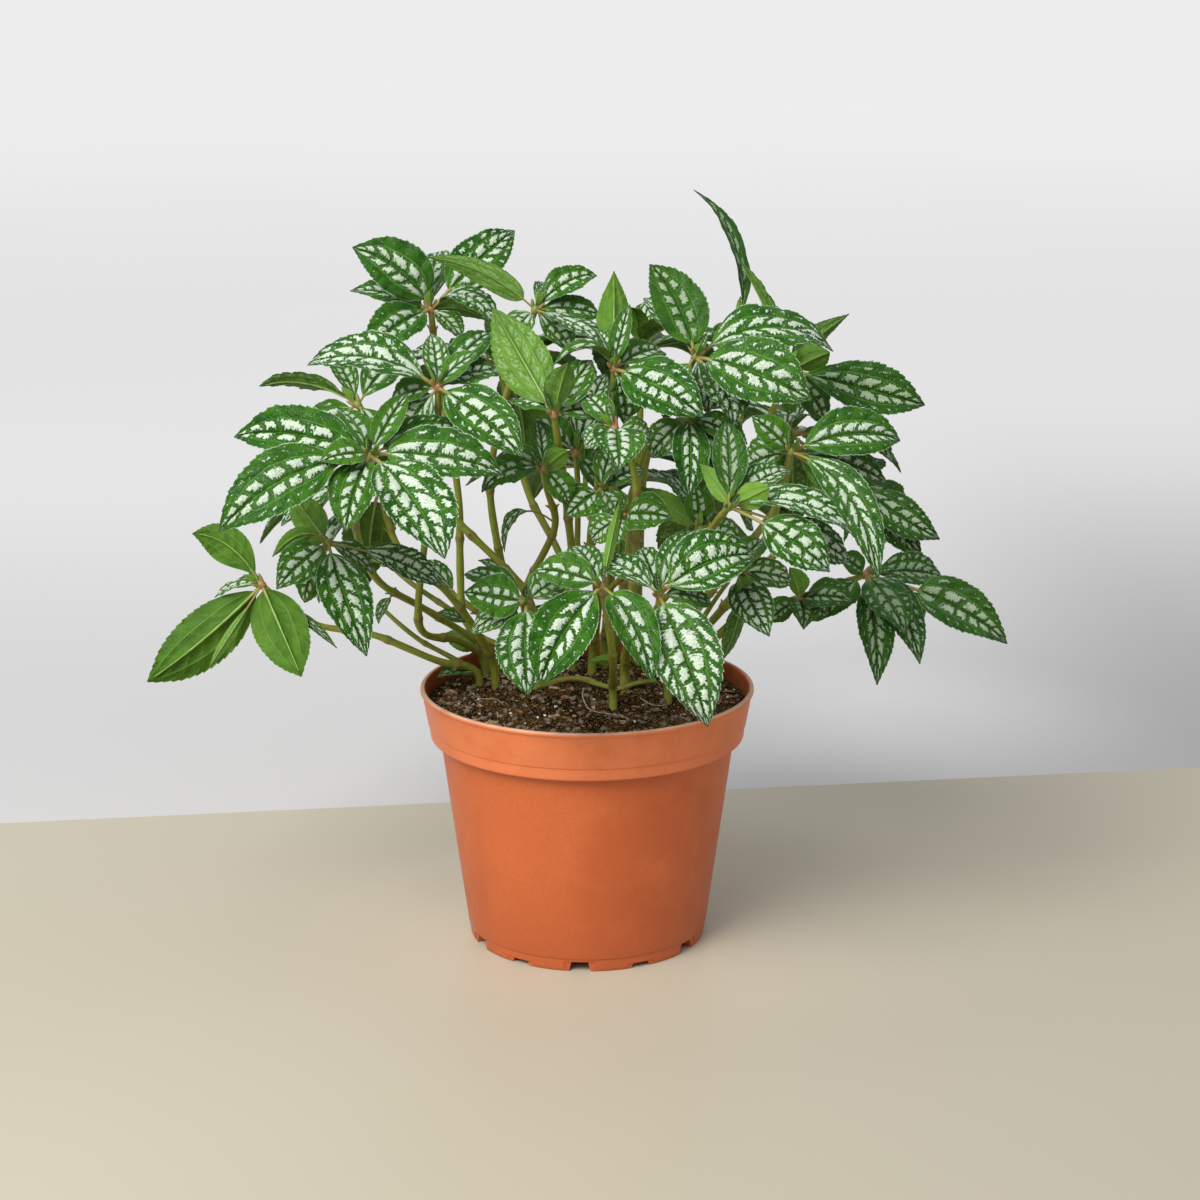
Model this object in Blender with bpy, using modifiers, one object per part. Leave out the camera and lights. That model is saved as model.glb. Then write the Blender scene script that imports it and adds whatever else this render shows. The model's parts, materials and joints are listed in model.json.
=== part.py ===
"""Potted aluminium plant (Pilea cadierei) in an orange plastic nursery pot.

Metres, +Z up, the front of the plant faces -Y. The pot is revolved, the soil fills it, and each shoot is a
tapering stem with a rosette of leaves at its end. The shoots are laid out on a front-view sheet: a point
on the sheet is (across, down, depth), 2.14 sheet units to a millimetre at the pot's axis, with the depth in
millimetres behind that axis. The sheet is drawn in perspective from EYE.
"""

import math

import bmesh
import bpy
from mathutils import Vector
from mathutils.bvhtree import BVHTree

MM = 0.001

# Pot, in millimetres: a 6 inch nursery pot.
RIM_R = 77.9
RIM_TOP = 121.0
LIP_TALL = 1.8
BAND_TOP_R = 77.1
BAND_LOW_R = 73.4
BAND_LOW_Z = 97.9
GROOVE_UP = 5.6
BODY_TOP_R = 68.9
BODY_TOP_Z = 97.4
BODY_LOW_R = 56.7
FOOT_R = 56.1
FOOT_TALL = 6.0
WALL = 1.5
BASE_UNDER = 4.8
BASE_THICK = 1.8
FOOT_RING = 4.0
DRAIN_R = 4.5
DRAIN_AT = 36.0
NOTCH_TALL = 4.2
NOTCH_LOW = 1.9
NOTCH_WIDE = 10.5
POT_STEPS = 44

# Soil, in millimetres.
SOIL_EDGE_Z = 113.0
SOIL_MID_Z = 116.0
SOIL_GAP = 0.35

# Sheet.
EYE = Vector((0.0060, -1.147, 0.463))
EYE_TILT = math.radians(14.73)
EYE_SCALE = 2559.0
SHEET_MID = 600.0
UNIT = 0.467 * MM

# Stems and leaves.
KNOB_R = 2.3 * MM
STEM_GAP = 0.45 * MM
STEM_SIDES = 6
LEAF_THICK = 1.0 * MM
LEAF_CLEAR = 0.5 * MM
PETIOLE_R = 0.85 * MM
TILT_OUT = 0.2  # how far a leaf that hangs down the sheet comes forward, in millimetres a sheet unit
MORE_LEAN = 12  # degrees that every upper face leans up beyond its own lean


def sheet(u, v, depth):
    """The point seen at (u, v) on the sheet, `depth` millimetres behind the pot's axis."""
    c, s = math.cos(EYE_TILT), math.sin(EYE_TILT)
    ray = Vector((u - SHEET_MID, EYE_SCALE * c + (SHEET_MID - v) * s, -EYE_SCALE * s + (SHEET_MID - v) * c))
    return EYE + ray * ((depth * MM - EYE.y) / ray.y)


def on_sheet(point):
    """Where the point is seen on the sheet, and its depth."""
    c, s = math.cos(EYE_TILT), math.sin(EYE_TILT)
    ray = point - EYE
    ahead = ray.y * c - ray.z * s
    return SHEET_MID + EYE_SCALE * ray.x / ahead, SHEET_MID - EYE_SCALE * (ray.y * s + ray.z * c) / ahead, point.y / MM


def sheet_on_soil(u, v):
    """The point seen at (u, v) on the soil's top."""
    c, s = math.cos(EYE_TILT), math.sin(EYE_TILT)
    ray = Vector((u - SHEET_MID, EYE_SCALE * c + (SHEET_MID - v) * s, -EYE_SCALE * s + (SHEET_MID - v) * c))
    p = EYE + ray * ((SOIL_MID_Z * MM - EYE.z) / ray.z)
    return Vector((p.x, p.y, 0))


# ---------------------------------------------------------------------------------------------- layout


def leaf(u, v, deep, wide, lean=10, pet=0.12, arch=0.10, bow=(0, 0), fold=12, curl=0.1, form=1.0):
    """A leaf: its tip on the sheet, how far the tip is behind its node, its width in sheet units, how far its
    upper face leans up from the viewer (180 shows the underside), the petiole's share of the length, how far
    it arches, a shift of its middle on the sheet, the fold along the midrib, the roll-down of the margins and
    its form: under 1 it is widest nearer its base, over 1 nearer its tip."""
    return dict(u=u, v=v, deep=deep, wide=wide, lean=lean, pet=pet, arch=arch, bow=bow, fold=fold, curl=curl, form=form)


def turned(az, el, long, wide, pet=0.12, arch=0.14, fold=12, curl=0.1):
    """A leaf by its direction: az degrees round from the back toward +X, el degrees above level, its length and
    width in millimetres."""
    return dict(az=az, el=el, long=long, wide=wide, lean=0, pet=pet, arch=arch, fold=fold, curl=curl, form=1.0)


def far_side(az):
    """A rosette of the far side that leans out toward az: four large leaves, a lower pair, two middle leaves and
    two young ones."""
    return [
        turned(az - 72, -6, 64, 29), turned(az - 22, -24, 66, 30), turned(az + 30, -18, 62, 28), turned(az + 80, -4, 60, 28),
        turned(az - 42, -58, 64, 29, pet=0.2), turned(az + 48, -62, 60, 28, pet=0.2),
        turned(az - 125, 14, 46, 21), turned(az + 140, 20, 44, 20), turned(az + 10, 48, 32, 13), turned(az - 170, 58, 30, 12),
    ]


UNDER = 180

SHOOTS = {
    "01": ((370, 455, -72), [
        leaf(446, 557, -25, 62, 18, form=1.1), leaf(231, 434, 4, 50, 18, pet=0.08, bow=(0, -2), form=0.95), leaf(217, 531, -12, 58, 10, pet=0.2, bow=(-5, -9)),
        leaf(505, 474, 6, 48, 25, form=0.9), leaf(466, 430, 26, 36, 20), leaf(408, 392, 0, 28, 0, fold=22), leaf(320, 461, -14, 26, 25),
        leaf(345, 532, -10, 46, 10), leaf(250, 492, 22, 46, 10, bow=(0, -10)), leaf(338, 408, 8, 26, 30)]),
    "02": ((438, 388, -30), [
        leaf(307, 365, -4, 40, 35, bow=(0, -8)), leaf(431, 333, 0, 27, 0, fold=24), leaf(523, 457, -22, 52, 10),
        leaf(494, 330, 18, 30, 20), leaf(478, 352, -6, 20, 30), leaf(503, 372, 8, 28, 40), leaf(404, 440, 18, 40, 20),
        leaf(466, 424, 24, 32, 20), leaf(388, 404, 12, 26, 30)]),
    "03": ((431, 310, 42), [
        leaf(352, 247, -8, 58, 0, bow=(8, -6), form=0.9), leaf(516, 228, 10, 50, 0, pet=0.2, form=0.85), leaf(388, 320, -8, 32, 40),
        leaf(500, 330, -16, 24, 50, bow=(0, -16)), leaf(490, 321, 12, 18, 150, pet=0.06, bow=(0, -4)), leaf(364, 352, -26, 44, 15),
        leaf(440, 250, 30, 40, 10), leaf(350, 291, -2, 28, 30), leaf(462, 340, -4, 22, 30, fold=20)]),
    "04": ((535, 310, 22), [
        leaf(426, 257, -18, 27, UNDER, bow=(4, -10), arch=0.02, form=0.72), leaf(598, 274, 2, 30, 25, bow=(0, -4)),
        leaf(607, 345, -22, 24, 55, arch=0.04), leaf(574, 324, 16, 24, 170), leaf(508, 345, 14, 30, 20),
        leaf(552, 288, 30, 26, 10), leaf(572, 352, 4, 30, 20), leaf(602, 316, 8, 26, 25)]),
    "05": ((554, 415, -45), [
        leaf(493, 308, 4, 54, UNDER, arch=0.03, form=1.12), leaf(568, 362, -4, 28, 155, arch=0.05), leaf(592, 360, 8, 34, 0),
        leaf(520, 400, 22, 34, 30), leaf(600, 412, 16, 28, 25)]),
    "06": ((614, 369, -25), [
        leaf(630, 304, 0, 22, 0, fold=26, form=0.85), leaf(552, 364, -10, 18, 65, bow=(6, -18), arch=0.02), leaf(704, 416, -22, 54, 12),
        leaf(614, 272, 12, 38, UNDER, pet=0.4, arch=0.02, form=0.62, fold=20), leaf(664, 350, 18, 30, 30),
        leaf(596, 330, 10, 20, 20, fold=26), leaf(624, 424, 6, 32, 30)]),
    "07": ((695, 357, -20), [
        leaf(649, 262, 4, 52, 0, bow=(6, 0), form=0.85), leaf(643, 297, 16, 22, 10, fold=24), leaf(838, 347, 8, 42, 38, bow=(-4, -12)),
        leaf(812, 400, -16, 64, 14), leaf(736, 426, -10, 36, 40), leaf(664, 420, 8, 34, 20), leaf(708, 414, 4, 32, 30)]),
    "08": ((790, 370, 38), [
        leaf(739, 259, -4, 20, 120, arch=0.03, form=0.7), leaf(830, 352, -12, 30, 160, arch=0.05), leaf(849, 314, 16, 24, 150, form=0.7),
        leaf(925, 405, -6, 52, 10, bow=(0, 5), form=1.12), leaf(765, 400, -20, 34, 30), leaf(826, 424, 18, 30, 20)]),
    "09": ((791, 452, -60), [
        leaf(903, 439, 2, 48, 12, bow=(0, -6), form=1.12), leaf(752, 416, -8, 30, 5, fold=20), leaf(879, 581, -16, 38, 10, bow=(12, -12)),
        leaf(874, 508, 12, 36, UNDER, arch=0.04, form=1.2), leaf(888, 484, 26, 34, 20), leaf(742, 470, 16, 36, 20)]),
    "10": ((862, 484, 48), [
        leaf(941, 538, -6, 40, 10, bow=(-6, 7), form=0.9), leaf(924, 556, 4, 40, 15, bow=(-8, 4)), leaf(878, 458, 16, 28, 15),
        leaf(902, 512, 26, 34, 15), leaf(884, 546, 14, 32, 20)]),
    "11": ((865, 575, -4), [
        leaf(1011, 643, -6, 50, 10, pet=0.34, bow=(2, -3), form=0.8), leaf(920, 664, -14, 40, 8, pet=0.1, bow=(8, 0), form=0.8),
        leaf(877, 685, -22, 40, 5, pet=0.2, form=0.85), leaf(906, 634, -26, 40, 15), leaf(944, 578, 12, 36, 25, form=1.1),
        leaf(926, 620, 20, 26, 10, pet=0.4, fold=24), leaf(838, 556, -6, 24, 20), leaf(823, 618, -8, 34, 25, pet=0.2)]),
    "12": ((729, 507, -90), [
        leaf(771, 487, -4, 26, UNDER, arch=0.04), leaf(726, 420, 2, 34, 0), leaf(792, 468, 10, 26, 30),
        leaf(700, 464, 6, 20, 160), leaf(858, 537, -2, 27, 40, bow=(0, -9)), leaf(831, 571, -10, 46, 10, pet=0.34),
        leaf(752, 524, 14, 22, 30, pet=0.3), leaf(850, 562, 20, 34, 20, pet=0.4)]),
    "13": ((659, 595, -92), [
        leaf(756, 555, 0, 58, 10, bow=(0, -8)), leaf(697, 528, 8, 34, 10), leaf(709, 727, -6, 66, 0, pet=0.08, form=0.95),
        leaf(590, 556, 10, 26, 35), leaf(640, 548, 20, 28, 0), leaf(712, 604, 10, 22, 30)]),
    "14": ((602, 586, -94), [
        leaf(533, 569, 2, 34, 20), leaf(620, 500, 2, 13, UNDER, fold=34), leaf(540, 684, -4, 60, 0, pet=0.08, bow=(-6, 0)),
        leaf(652, 683, -8, 42, 5, bow=(6, -4), form=0.85), leaf(572, 545, 22, 28, 10)]),
    "15": ((527, 602, -85), [
        leaf(464, 591, -4, 42, 10, bow=(0, 3)), leaf(463, 571, 14, 24, 30), leaf(563, 578, 8, 32, 15),
        leaf(527, 695, -12, 52, 0, form=1.1), leaf(470, 633, 4, 24, 10)]),
    "16": ((328, 543, -46), [
        leaf(290, 492, 4, 34, UNDER, arch=0.04), leaf(276, 589, -8, 40, 10, form=0.9), leaf(367, 656, -14, 48, 5, bow=(-6, 0), form=0.9),
        leaf(303, 604, 14, 28, 10), leaf(272, 557, -4, 16, UNDER, pet=0.3, bow=(2, -16)), leaf(444, 586, 16, 30, 20, pet=0.3),
        leaf(374, 574, 8, 22, 30)]),
    "17": ((262, 585, -8), [
        leaf(147, 682, -10, 60, UNDER, pet=0.06, arch=0.03, fold=20, bow=(0, 5), form=1.0), leaf(302, 678, -12, 56, UNDER, pet=0.05, arch=0.03, form=0.8),
        leaf(193, 534, -4, 38, UNDER, arch=0.03, bow=(2, -13), form=1.1), leaf(209, 668, -22, 12, UNDER, pet=0.22, fold=34),
        leaf(214, 597, 10, 20, 60)]),
    "18": ((543, 469, -35), [
        leaf(496, 455, 0, 24, 30), leaf(480, 491, -6, 28, 35, bow=(0, -5)), leaf(537, 420, 6, 24, 5, fold=20),
        leaf(568, 450, -8, 22, 165), leaf(570, 505, 6, 28, 20)]),
    "19": ((576, 454, 12), [
        leaf(606, 371, 4, 36, 5), leaf(534, 418, 6, 34, 10), leaf(545, 385, 22, 34, 10), leaf(600, 492, 2, 24, 30)]),
    "20": ((600, 490, -25), [
        leaf(616, 441, 0, 26, 5), leaf(620, 519, -8, 28, 20), leaf(566, 517, -8, 38, 5), leaf(645, 468, 4, 28, 25)]),
    "21": ((615, 429, -55), [
        leaf(619, 470, -30, 50, 0, pet=0.05), leaf(585, 395, 10, 26, 10), leaf(652, 438, 10, 26, 20), leaf(584, 448, 4, 22, 30)]),
    "22": ((688, 418, -35), [
        leaf(689, 496, -14, 36, 0, pet=0.06), leaf(736, 470, 8, 34, 20), leaf(650, 458, 14, 30, 20), leaf(716, 484, 2, 26, 20, fold=20), leaf(748, 444, 12, 28, 20)]),
    "23": ((624, 516, -45), [
        leaf(672, 517, -16, 38, 15), leaf(617, 545, -10, 20, 10), leaf(590, 540, 10, 28, 10)]),
    "24": ((700, 529, -35), [
        leaf(694, 484, 0, 30, 5), leaf(660, 470, 4, 20, 45), leaf(638, 487, 12, 24, 165), leaf(742, 545, 8, 32, 15)]),
    "25": ((738, 572, -60), [
        leaf(770, 636, -10, 40, 5, pet=0.16, bow=(-5, 0)), leaf(742, 590, -12, 20, 160, arch=0.04), leaf(721, 661, 8, 18, 150, pet=0.4, bow=(14, -4)),
        leaf(764, 540, 12, 28, 20), leaf(794, 582, 10, 28, 20)]),
    "26": ((358, 405, 42), [
        leaf(259, 385, -4, 22, 115, arch=0.03, bow=(0, -9)), leaf(330, 352, 12, 26, 10), leaf(402, 352, 16, 36, 10),
        leaf(310, 440, 16, 38, 20), leaf(378, 446, 4, 30, 20)]),
    "27": ((800, 600, -25), [
        leaf(804, 628, -26, 34, 5, pet=0.05), leaf(768, 622, 2, 26, 15), leaf(790, 567, 0, 22, 150), leaf(852, 600, -18, 30, 25),
        leaf(828, 616, 8, 28, 10)]),
    "28": ((742, 322, 52), [
        leaf(695, 187, 4, 17, 45, pet=0.08, bow=(16, -8), arch=0.0), leaf(786, 345, 22, 30, 10),
        leaf(718, 350, 22, 32, 10)]),
    # The far side, which carries as many leaves as the front.
    "29": ((640, 352, 88), far_side(8)),
    "30": ((500, 365, 90), far_side(-24)),
    "31": ((792, 436, 88), far_side(48)),
    "32": ((380, 490, 66), far_side(-66)),
    "33": ((585, 470, 122), far_side(-6)[:4] + far_side(-6)[5:]),
    "34": ((700, 500, 108), far_side(28)),
}

# Every stem leaves the soil within this radius of the pot's axis, in millimetres.
ROOT_R = 64.0

# Each stem: where it leaves the soil on the sheet, then the sheet points it passes, then its shoot. A branch
# leaves the stem at a share of its length, passes its own points and ends at its own shoot.
STEMS = {
    "01": ((496, 666), [(418, 605), (377, 580), (356, 530), (362, 490)], "01", []),
    "02": ((490, 664), [(452, 638), (421, 632), (421, 573), (436, 460)], "02", []),
    "03": ((510, 664), [(464, 620), (459, 500), (440, 390)], "03", []),
    "04": ((524, 664), [(508, 590), (490, 492), (505, 400)], "04", []),
    "05": ((572, 668), [(576, 600), (566, 500)], "05", [(0.5, [(578, 500)], "19")]),
    "06": ((604, 664), [(612, 560), (614, 450)], "06", [(0.6, [(650, 440)], "22")]),
    "07": ((636, 660), [(640, 560), (645, 465), (668, 415)], "07", []),
    "08": ((656, 658), [(700, 560), (755, 450)], "08", [(0.72, [(745, 380)], "28")]),
    "09": ((678, 668), [(720, 612), (765, 540)], "09", [(0.66, [(820, 520)], "10")]),
    "11": ((692, 684), [(724, 630), (775, 606), (825, 590)], "11", [(0.62, [(780, 604)], "27")]),
    "12": ((664, 676), [(690, 610), (706, 540)], "12", [(0.5, [(712, 590)], "25")]),
    "13": ((668, 700), [(664, 652)], "13", []),
    "14": ((613, 708), [(612, 650)], "14", []),
    "15": ((536, 684), [(534, 645)], "15", []),
    "16": ((496, 684), [(472, 624), (430, 576), (380, 553)], "16", []),
    "17": ((480, 682), [(440, 662), (372, 634), (313, 624)], "17", []),
    "18": ((532, 672), [(524, 596), (540, 560), (556, 524), (548, 494)], "18", []),
    "20": ((592, 672), [(598, 600), (590, 540)], "20", [(0.6, [(640, 555)], "23")]),
    "21": ((624, 690), [(632, 600), (636, 480)], "21", [(0.45, [(680, 580)], "24")]),
    "26": ((542, 672), [(526, 592), (464, 528), (400, 455)], "26", []),
    "29": ((616, 656), [(630, 540), (640, 420)], "29", [(0.5, [(590, 520)], "33")]),
    "30": ((572, 660), [(562, 560), (530, 498), (512, 430)], "30", []),
    "31": ((666, 663), [(720, 580), (780, 500)], "31", [(0.4, [(690, 610)], "34")]),
    "32": ((524, 652), [(460, 600), (400, 550)], "32", []),
}

# Side stems that end bare: the share of the stem's length where each starts, then the sheet points it passes.
STUBS = {
    "11": [(0.10, [(706, 646), (742, 612), (768, 590)])],
    "12": [(0.10, [(688, 642), (712, 604), (728, 582)])],
    "16": [(0.45, [(412, 584), (384, 562), (352, 556)])],
    "17": [(0.10, [(451, 657), (421, 641), (398, 623), (378, 604)])],
}

# Small leaves that grow straight from a stem: the share of the stem's length, then the leaf.
STEM_LEAVES = {
    "01": [(0.16, leaf(443, 634, -4, 24, UNDER, pet=0.14, arch=0.03)), (0.42, leaf(378, 624, -4, 12, 30, pet=0.2))],
    "14": [(0.45, leaf(586, 663, -8, 12, UNDER, pet=0.2, bow=(12, -6), fold=30))],
    "16": [(0.42, leaf(438, 612, -3, 13, 20, pet=0.15))],
    "17": [(0.12, leaf(437, 677, -6, 15, 40, pet=0.12)), (0.86, leaf(337, 648, -5, 10, 5, pet=0.12))],
    "18": [(0.66, leaf(502, 552, -3, 13, 50, pet=0.4, bow=(-6, -20)))],
    "26": [(0.40, leaf(478, 560, 4, 14, 30, pet=0.2))],
    "30": [(0.30, leaf(505, 640, 6, 20, 20, pet=0.2))],
    "32": [(0.45, leaf(420, 560, 8, 22, 20, pet=0.2))],
}
BRANCH_LOW_R = 1.5 * MM


# ---------------------------------------------------------------------------------------------- shapes


def loft(rings, tip=None):
    """Points and faces of a closed solid through rings of equal count, with an end cap at the start and a cap or
    a point at the end."""
    points = [p for ring in rings for p in ring]
    n = len(rings[0])
    faces = [list(range(n))[::-1]]
    for k in range(len(rings) - 1):
        for i in range(n):
            j = (i + 1) % n
            faces.append([k * n + i, k * n + j, (k + 1) * n + j, (k + 1) * n + i])
    last = (len(rings) - 1) * n
    if tip is None:
        faces.append([last + i for i in range(n)])
    else:
        points.append(tip)
        faces += [[last + i, last + (i + 1) % n, len(points) - 1] for i in range(n)]
    return points, faces


def triangles(points, faces):
    """Points and triangles that face out."""
    bm = bmesh.new()
    made = [bm.verts.new(p) for p in points]
    for face in faces:
        bm.faces.new([made[i] for i in face])
    bmesh.ops.triangulate(bm, faces=bm.faces[:])
    bmesh.ops.recalc_face_normals(bm, faces=bm.faces[:])
    bm.verts.index_update()
    out = [v.co.copy() for v in bm.verts], [[v.index for v in f.verts] for f in bm.faces]
    bm.free()
    return out


def half_width(x, form=1.0):
    """The blade's half width, 0 to 1, at x of its length: widest near the middle, drawn out to the tip."""
    x = min(max(x, 0.0), 1.0) ** form
    return (math.sin(math.pi * x**0.92) ** 0.72) * (1 - 0.42 * x**3)


class Leaf:
    """A leaf in space, from its node to its tip, with its frame at any share s of its length."""

    def __init__(self, node, spec, deeper=0.0, leaner=0.0, size=1.0):
        self.start = sheet(*node)
        if "az" in spec:
            az, el = math.radians(spec["az"]), math.radians(spec["el"] + deeper * 0.8)
            along = Vector((math.sin(az) * math.cos(el), math.cos(az) * math.cos(el), math.sin(el)))
            self.end = self.start + along * (spec["long"] * MM * size)
            look = (Vector((0, 0, 1)) + Vector((math.sin(az), math.cos(az), 0)) * 0.5).normalized()
            half, bow, lean = spec["wide"] * MM / 2, Vector(), leaner
        else:
            u0, v0, depth0 = node
            deep = depth0 + (spec["deep"] - TILT_OUT * (spec["v"] - v0)) * size + deeper
            u = u0 + (spec["u"] - u0) * size
            v = v0 + (spec["v"] - v0) * size
            self.end = sheet(u, v, deep)
            look = (EYE - (self.start + self.end) / 2).normalized()
            lean = spec["lean"] + (MORE_LEAN if spec["lean"] < 90 else 0) + leaner
            half = spec["wide"] * UNIT / 2 / max(0.62, abs(math.cos(math.radians(lean - leaner))))
            bow = sheet(u + spec["bow"][0], v + spec["bow"][1], deep) - self.end
        chord = self.end - self.start
        self.length = chord.length
        along = chord.normalized()
        facing = (look - along * look.dot(along)).normalized()
        up = along.cross(facing)
        if up.z < 0 or (abs(up.z) < 1e-6 and up.x < 0):
            up = -up
        lean = math.radians(lean)
        self.top = facing * math.cos(lean) + up * math.sin(lean)
        self.mid = (self.start + self.end) / 2 + self.top * (2 * spec["arch"] * self.length) + 2 * bow
        self.pet = spec["pet"]
        self.wide = half * size
        self.fold = math.radians(spec["fold"])
        self.curl = spec["curl"]
        self.form = spec["form"]

    def frame(self, s):
        at = self.start * (1 - s) ** 2 + self.mid * (2 * s * (1 - s)) + self.end * s**2
        along = ((self.mid - self.start) * (1 - s) + (self.end - self.mid) * s).normalized()
        top = (self.top - along * self.top.dot(along)).normalized()
        return at, along, top, along.cross(top)

    def section(self, s, thick):
        """Margin, upper midrib, margin, lower midrib."""
        at, _, top, side = self.frame(s)
        x = (s - self.pet) / (1 - self.pet)
        half = max(PETIOLE_R, self.wide * half_width(x, self.form)) if x > 0 else PETIOLE_R
        rise = half * (math.sin(self.fold) - self.curl) if half > PETIOLE_R * 1.5 else 0.0
        out = side * (half * math.cos(self.fold)) if half > PETIOLE_R * 1.5 else side * half
        return [at - out + top * rise, at + top * thick / 2, at + out + top * rise, at - top * thick / 2]

    def solid(self, thick=LEAF_THICK, first=0.0):
        stations = [0.7 * MM / self.length, self.pet] + [self.pet + (1 - self.pet) * x for x in (0.18, 0.42, 0.66, 0.86)]
        stations = [s for s in stations if s >= first]
        rings = [self.section(s, thick if s > self.pet else max(thick, 2 * PETIOLE_R)) for s in stations]
        return triangles(*loft(rings, self.end.copy()))


def smooth_path(points, pieces=4):
    """A path through the points, with `pieces` spans between each two."""
    out = []
    ends = [points[0] * 2 - points[1]] + points + [points[-1] * 2 - points[-2]]
    for k in range(1, len(ends) - 2):
        a, b, c, d = ends[k - 1 : k + 3]
        for i in range(pieces):
            t = i / pieces
            out.append(0.5 * (2 * b + (c - a) * t + (2 * a - 5 * b + 4 * c - d) * t**2 + (3 * b - a - 3 * c + d) * t**3))
    out.append(points[-1].copy())
    return out


def tube(path, low, high, sides=STEM_SIDES):
    """A tapering tube along the path."""
    rings = []
    side = None
    for k, at in enumerate(path):
        along = (path[min(k + 1, len(path) - 1)] - path[max(k - 1, 0)]).normalized()
        if side is None:
            side = along.cross(Vector((0, 1, 0)) if abs(along.y) < 0.9 else Vector((1, 0, 0))).normalized()
        side = (side - along * side.dot(along)).normalized()
        other = along.cross(side)
        r = low + (high - low) * k / (len(path) - 1)
        rings.append([at + (side * math.cos(a) + other * math.sin(a)) * r for a in (2 * math.pi * i / sides for i in range(sides))])
    return triangles(*loft(rings))


def bvh(solid):
    return BVHTree.FromPolygons(solid[0], solid[1])


class Placed:
    """What has its place so far, for finding a free one for the next."""

    def __init__(self):
        self.held = []

    def add(self, owner, solid):
        lo = [min(p[i] for p in solid[0]) for i in range(3)]
        hi = [max(p[i] for p in solid[0]) for i in range(3)]
        self.held.append((owner, lo, hi, bvh(solid)))

    def free(self, solid, skip=()):
        lo = [min(p[i] for p in solid[0]) for i in range(3)]
        hi = [max(p[i] for p in solid[0]) for i in range(3)]
        tree = None
        for owner, a, b, other in self.held:
            if owner in skip or any(lo[i] > b[i] or hi[i] < a[i] for i in range(3)):
                continue
            tree = tree or bvh(solid)
            if tree.overlap(other):
                return False
        return True


def pot_profile():
    """Radius and height down the outside, under the foot and back up the inside, in millimetres."""
    band = (BAND_TOP_R - BAND_LOW_R) / (RIM_TOP - LIP_TALL - BAND_LOW_Z)
    groove = BAND_LOW_Z + GROOVE_UP
    return [
        (RIM_R - 0.9, RIM_TOP),
        (RIM_R, RIM_TOP - 0.8),
        (RIM_R, RIM_TOP - LIP_TALL + 0.4),
        (BAND_TOP_R, RIM_TOP - LIP_TALL),
        (BAND_LOW_R + band * (groove + 0.1 - BAND_LOW_Z), groove + 0.1),
        (BAND_LOW_R + band * (groove - BAND_LOW_Z) - 0.45, groove),
        (BAND_LOW_R, BAND_LOW_Z),
        (BAND_LOW_R - 0.5, BODY_TOP_Z),
        (BODY_TOP_R, BODY_TOP_Z),
        (BODY_LOW_R, FOOT_TALL),
        (FOOT_R, FOOT_TALL - 0.5),
        (FOOT_R - 0.4, 0.0),
        (FOOT_R - 0.4 - FOOT_RING, 0.0),
        (FOOT_R - 0.8 - FOOT_RING, BASE_UNDER),
        (0.0, BASE_UNDER),
        (0.0, BASE_UNDER + BASE_THICK),
        (BODY_LOW_R - WALL, BASE_UNDER + BASE_THICK),
        (BODY_TOP_R - WALL, BODY_TOP_Z + 1.2),
        (BAND_LOW_R - WALL, BAND_LOW_Z + 2.2),
        (BAND_TOP_R - WALL, RIM_TOP - LIP_TALL),
        (RIM_R - 2.4, RIM_TOP),
    ]


def inner_radius(z):
    """The pot's inner radius at height z, in millimetres."""
    inside = [
        (BODY_LOW_R - WALL, BASE_UNDER + BASE_THICK),
        (BODY_TOP_R - WALL, BODY_TOP_Z + 1.2),
        (BAND_LOW_R - WALL, BAND_LOW_Z + 2.2),
        (BAND_TOP_R - WALL, RIM_TOP - LIP_TALL),
    ]
    for (r0, z0), (r1, z1) in zip(inside, inside[1:]):
        if z <= z1:
            return r0 + (r1 - r0) * (z - z0) / (z1 - z0)
    return inside[-1][0]


def soil_height(x, y):
    """Height of the soil's top, in millimetres: a low mound with clods."""
    r = math.hypot(x, y) / 72.0
    lump = 0.8 * math.sin(x * 0.21 + 1.3) * math.cos(y * 0.17 - 0.6) + 0.5 * math.sin(x * 0.47 - y * 0.39)
    return SOIL_EDGE_Z + (SOIL_MID_Z - SOIL_EDGE_Z) * (1 - r * r) + lump * max(0.0, 1 - r**4)


def soil_solid():
    """The soil inside the pot, as rings from the middle of its top out and down to its base."""
    steps = 32
    across = (9.0, 22.0, 36.0, 50.0, 62.0)
    wall = inner_radius(SOIL_EDGE_Z) - SOIL_GAP
    lows = [BAND_LOW_Z + 2.2, BODY_TOP_Z + 1.2, BASE_UNDER + BASE_THICK + SOIL_GAP]
    rings = []
    for r in (*across, wall):
        ring = []
        for i in range(steps):
            a = 2 * math.pi * i / steps
            x, y = r * math.cos(a), r * math.sin(a)
            ring.append(Vector((x, y, soil_height(x, y) if r < wall else SOIL_EDGE_Z)) * MM)
        rings.append(ring)
    for z in lows:
        r = inner_radius(z) - SOIL_GAP
        rings.append([Vector((r * math.cos(2 * math.pi * i / steps), r * math.sin(2 * math.pi * i / steps), z)) * MM for i in range(steps)])
    return triangles(*loft(rings))


# ---------------------------------------------------------------------------------------------- layout in space


def pot_guard():
    """The pot's outside and rim as a plain solid, to keep leaves and stems off it."""
    rings = []
    for r, z in [(RIM_R - 3.2, RIM_TOP - 12), (RIM_R - 3.2, RIM_TOP + 0.7), (RIM_R + 0.7, RIM_TOP + 0.7), (RIM_R + 0.7, RIM_TOP - 4), (BODY_TOP_R + 1, BODY_TOP_Z), (BODY_LOW_R, 0.0)]:
        rings.append([Vector((r * math.cos(2 * math.pi * i / 32), r * math.sin(2 * math.pi * i / 32), z)) * MM for i in range(32)])
    return triangles(*loft(rings))


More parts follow.
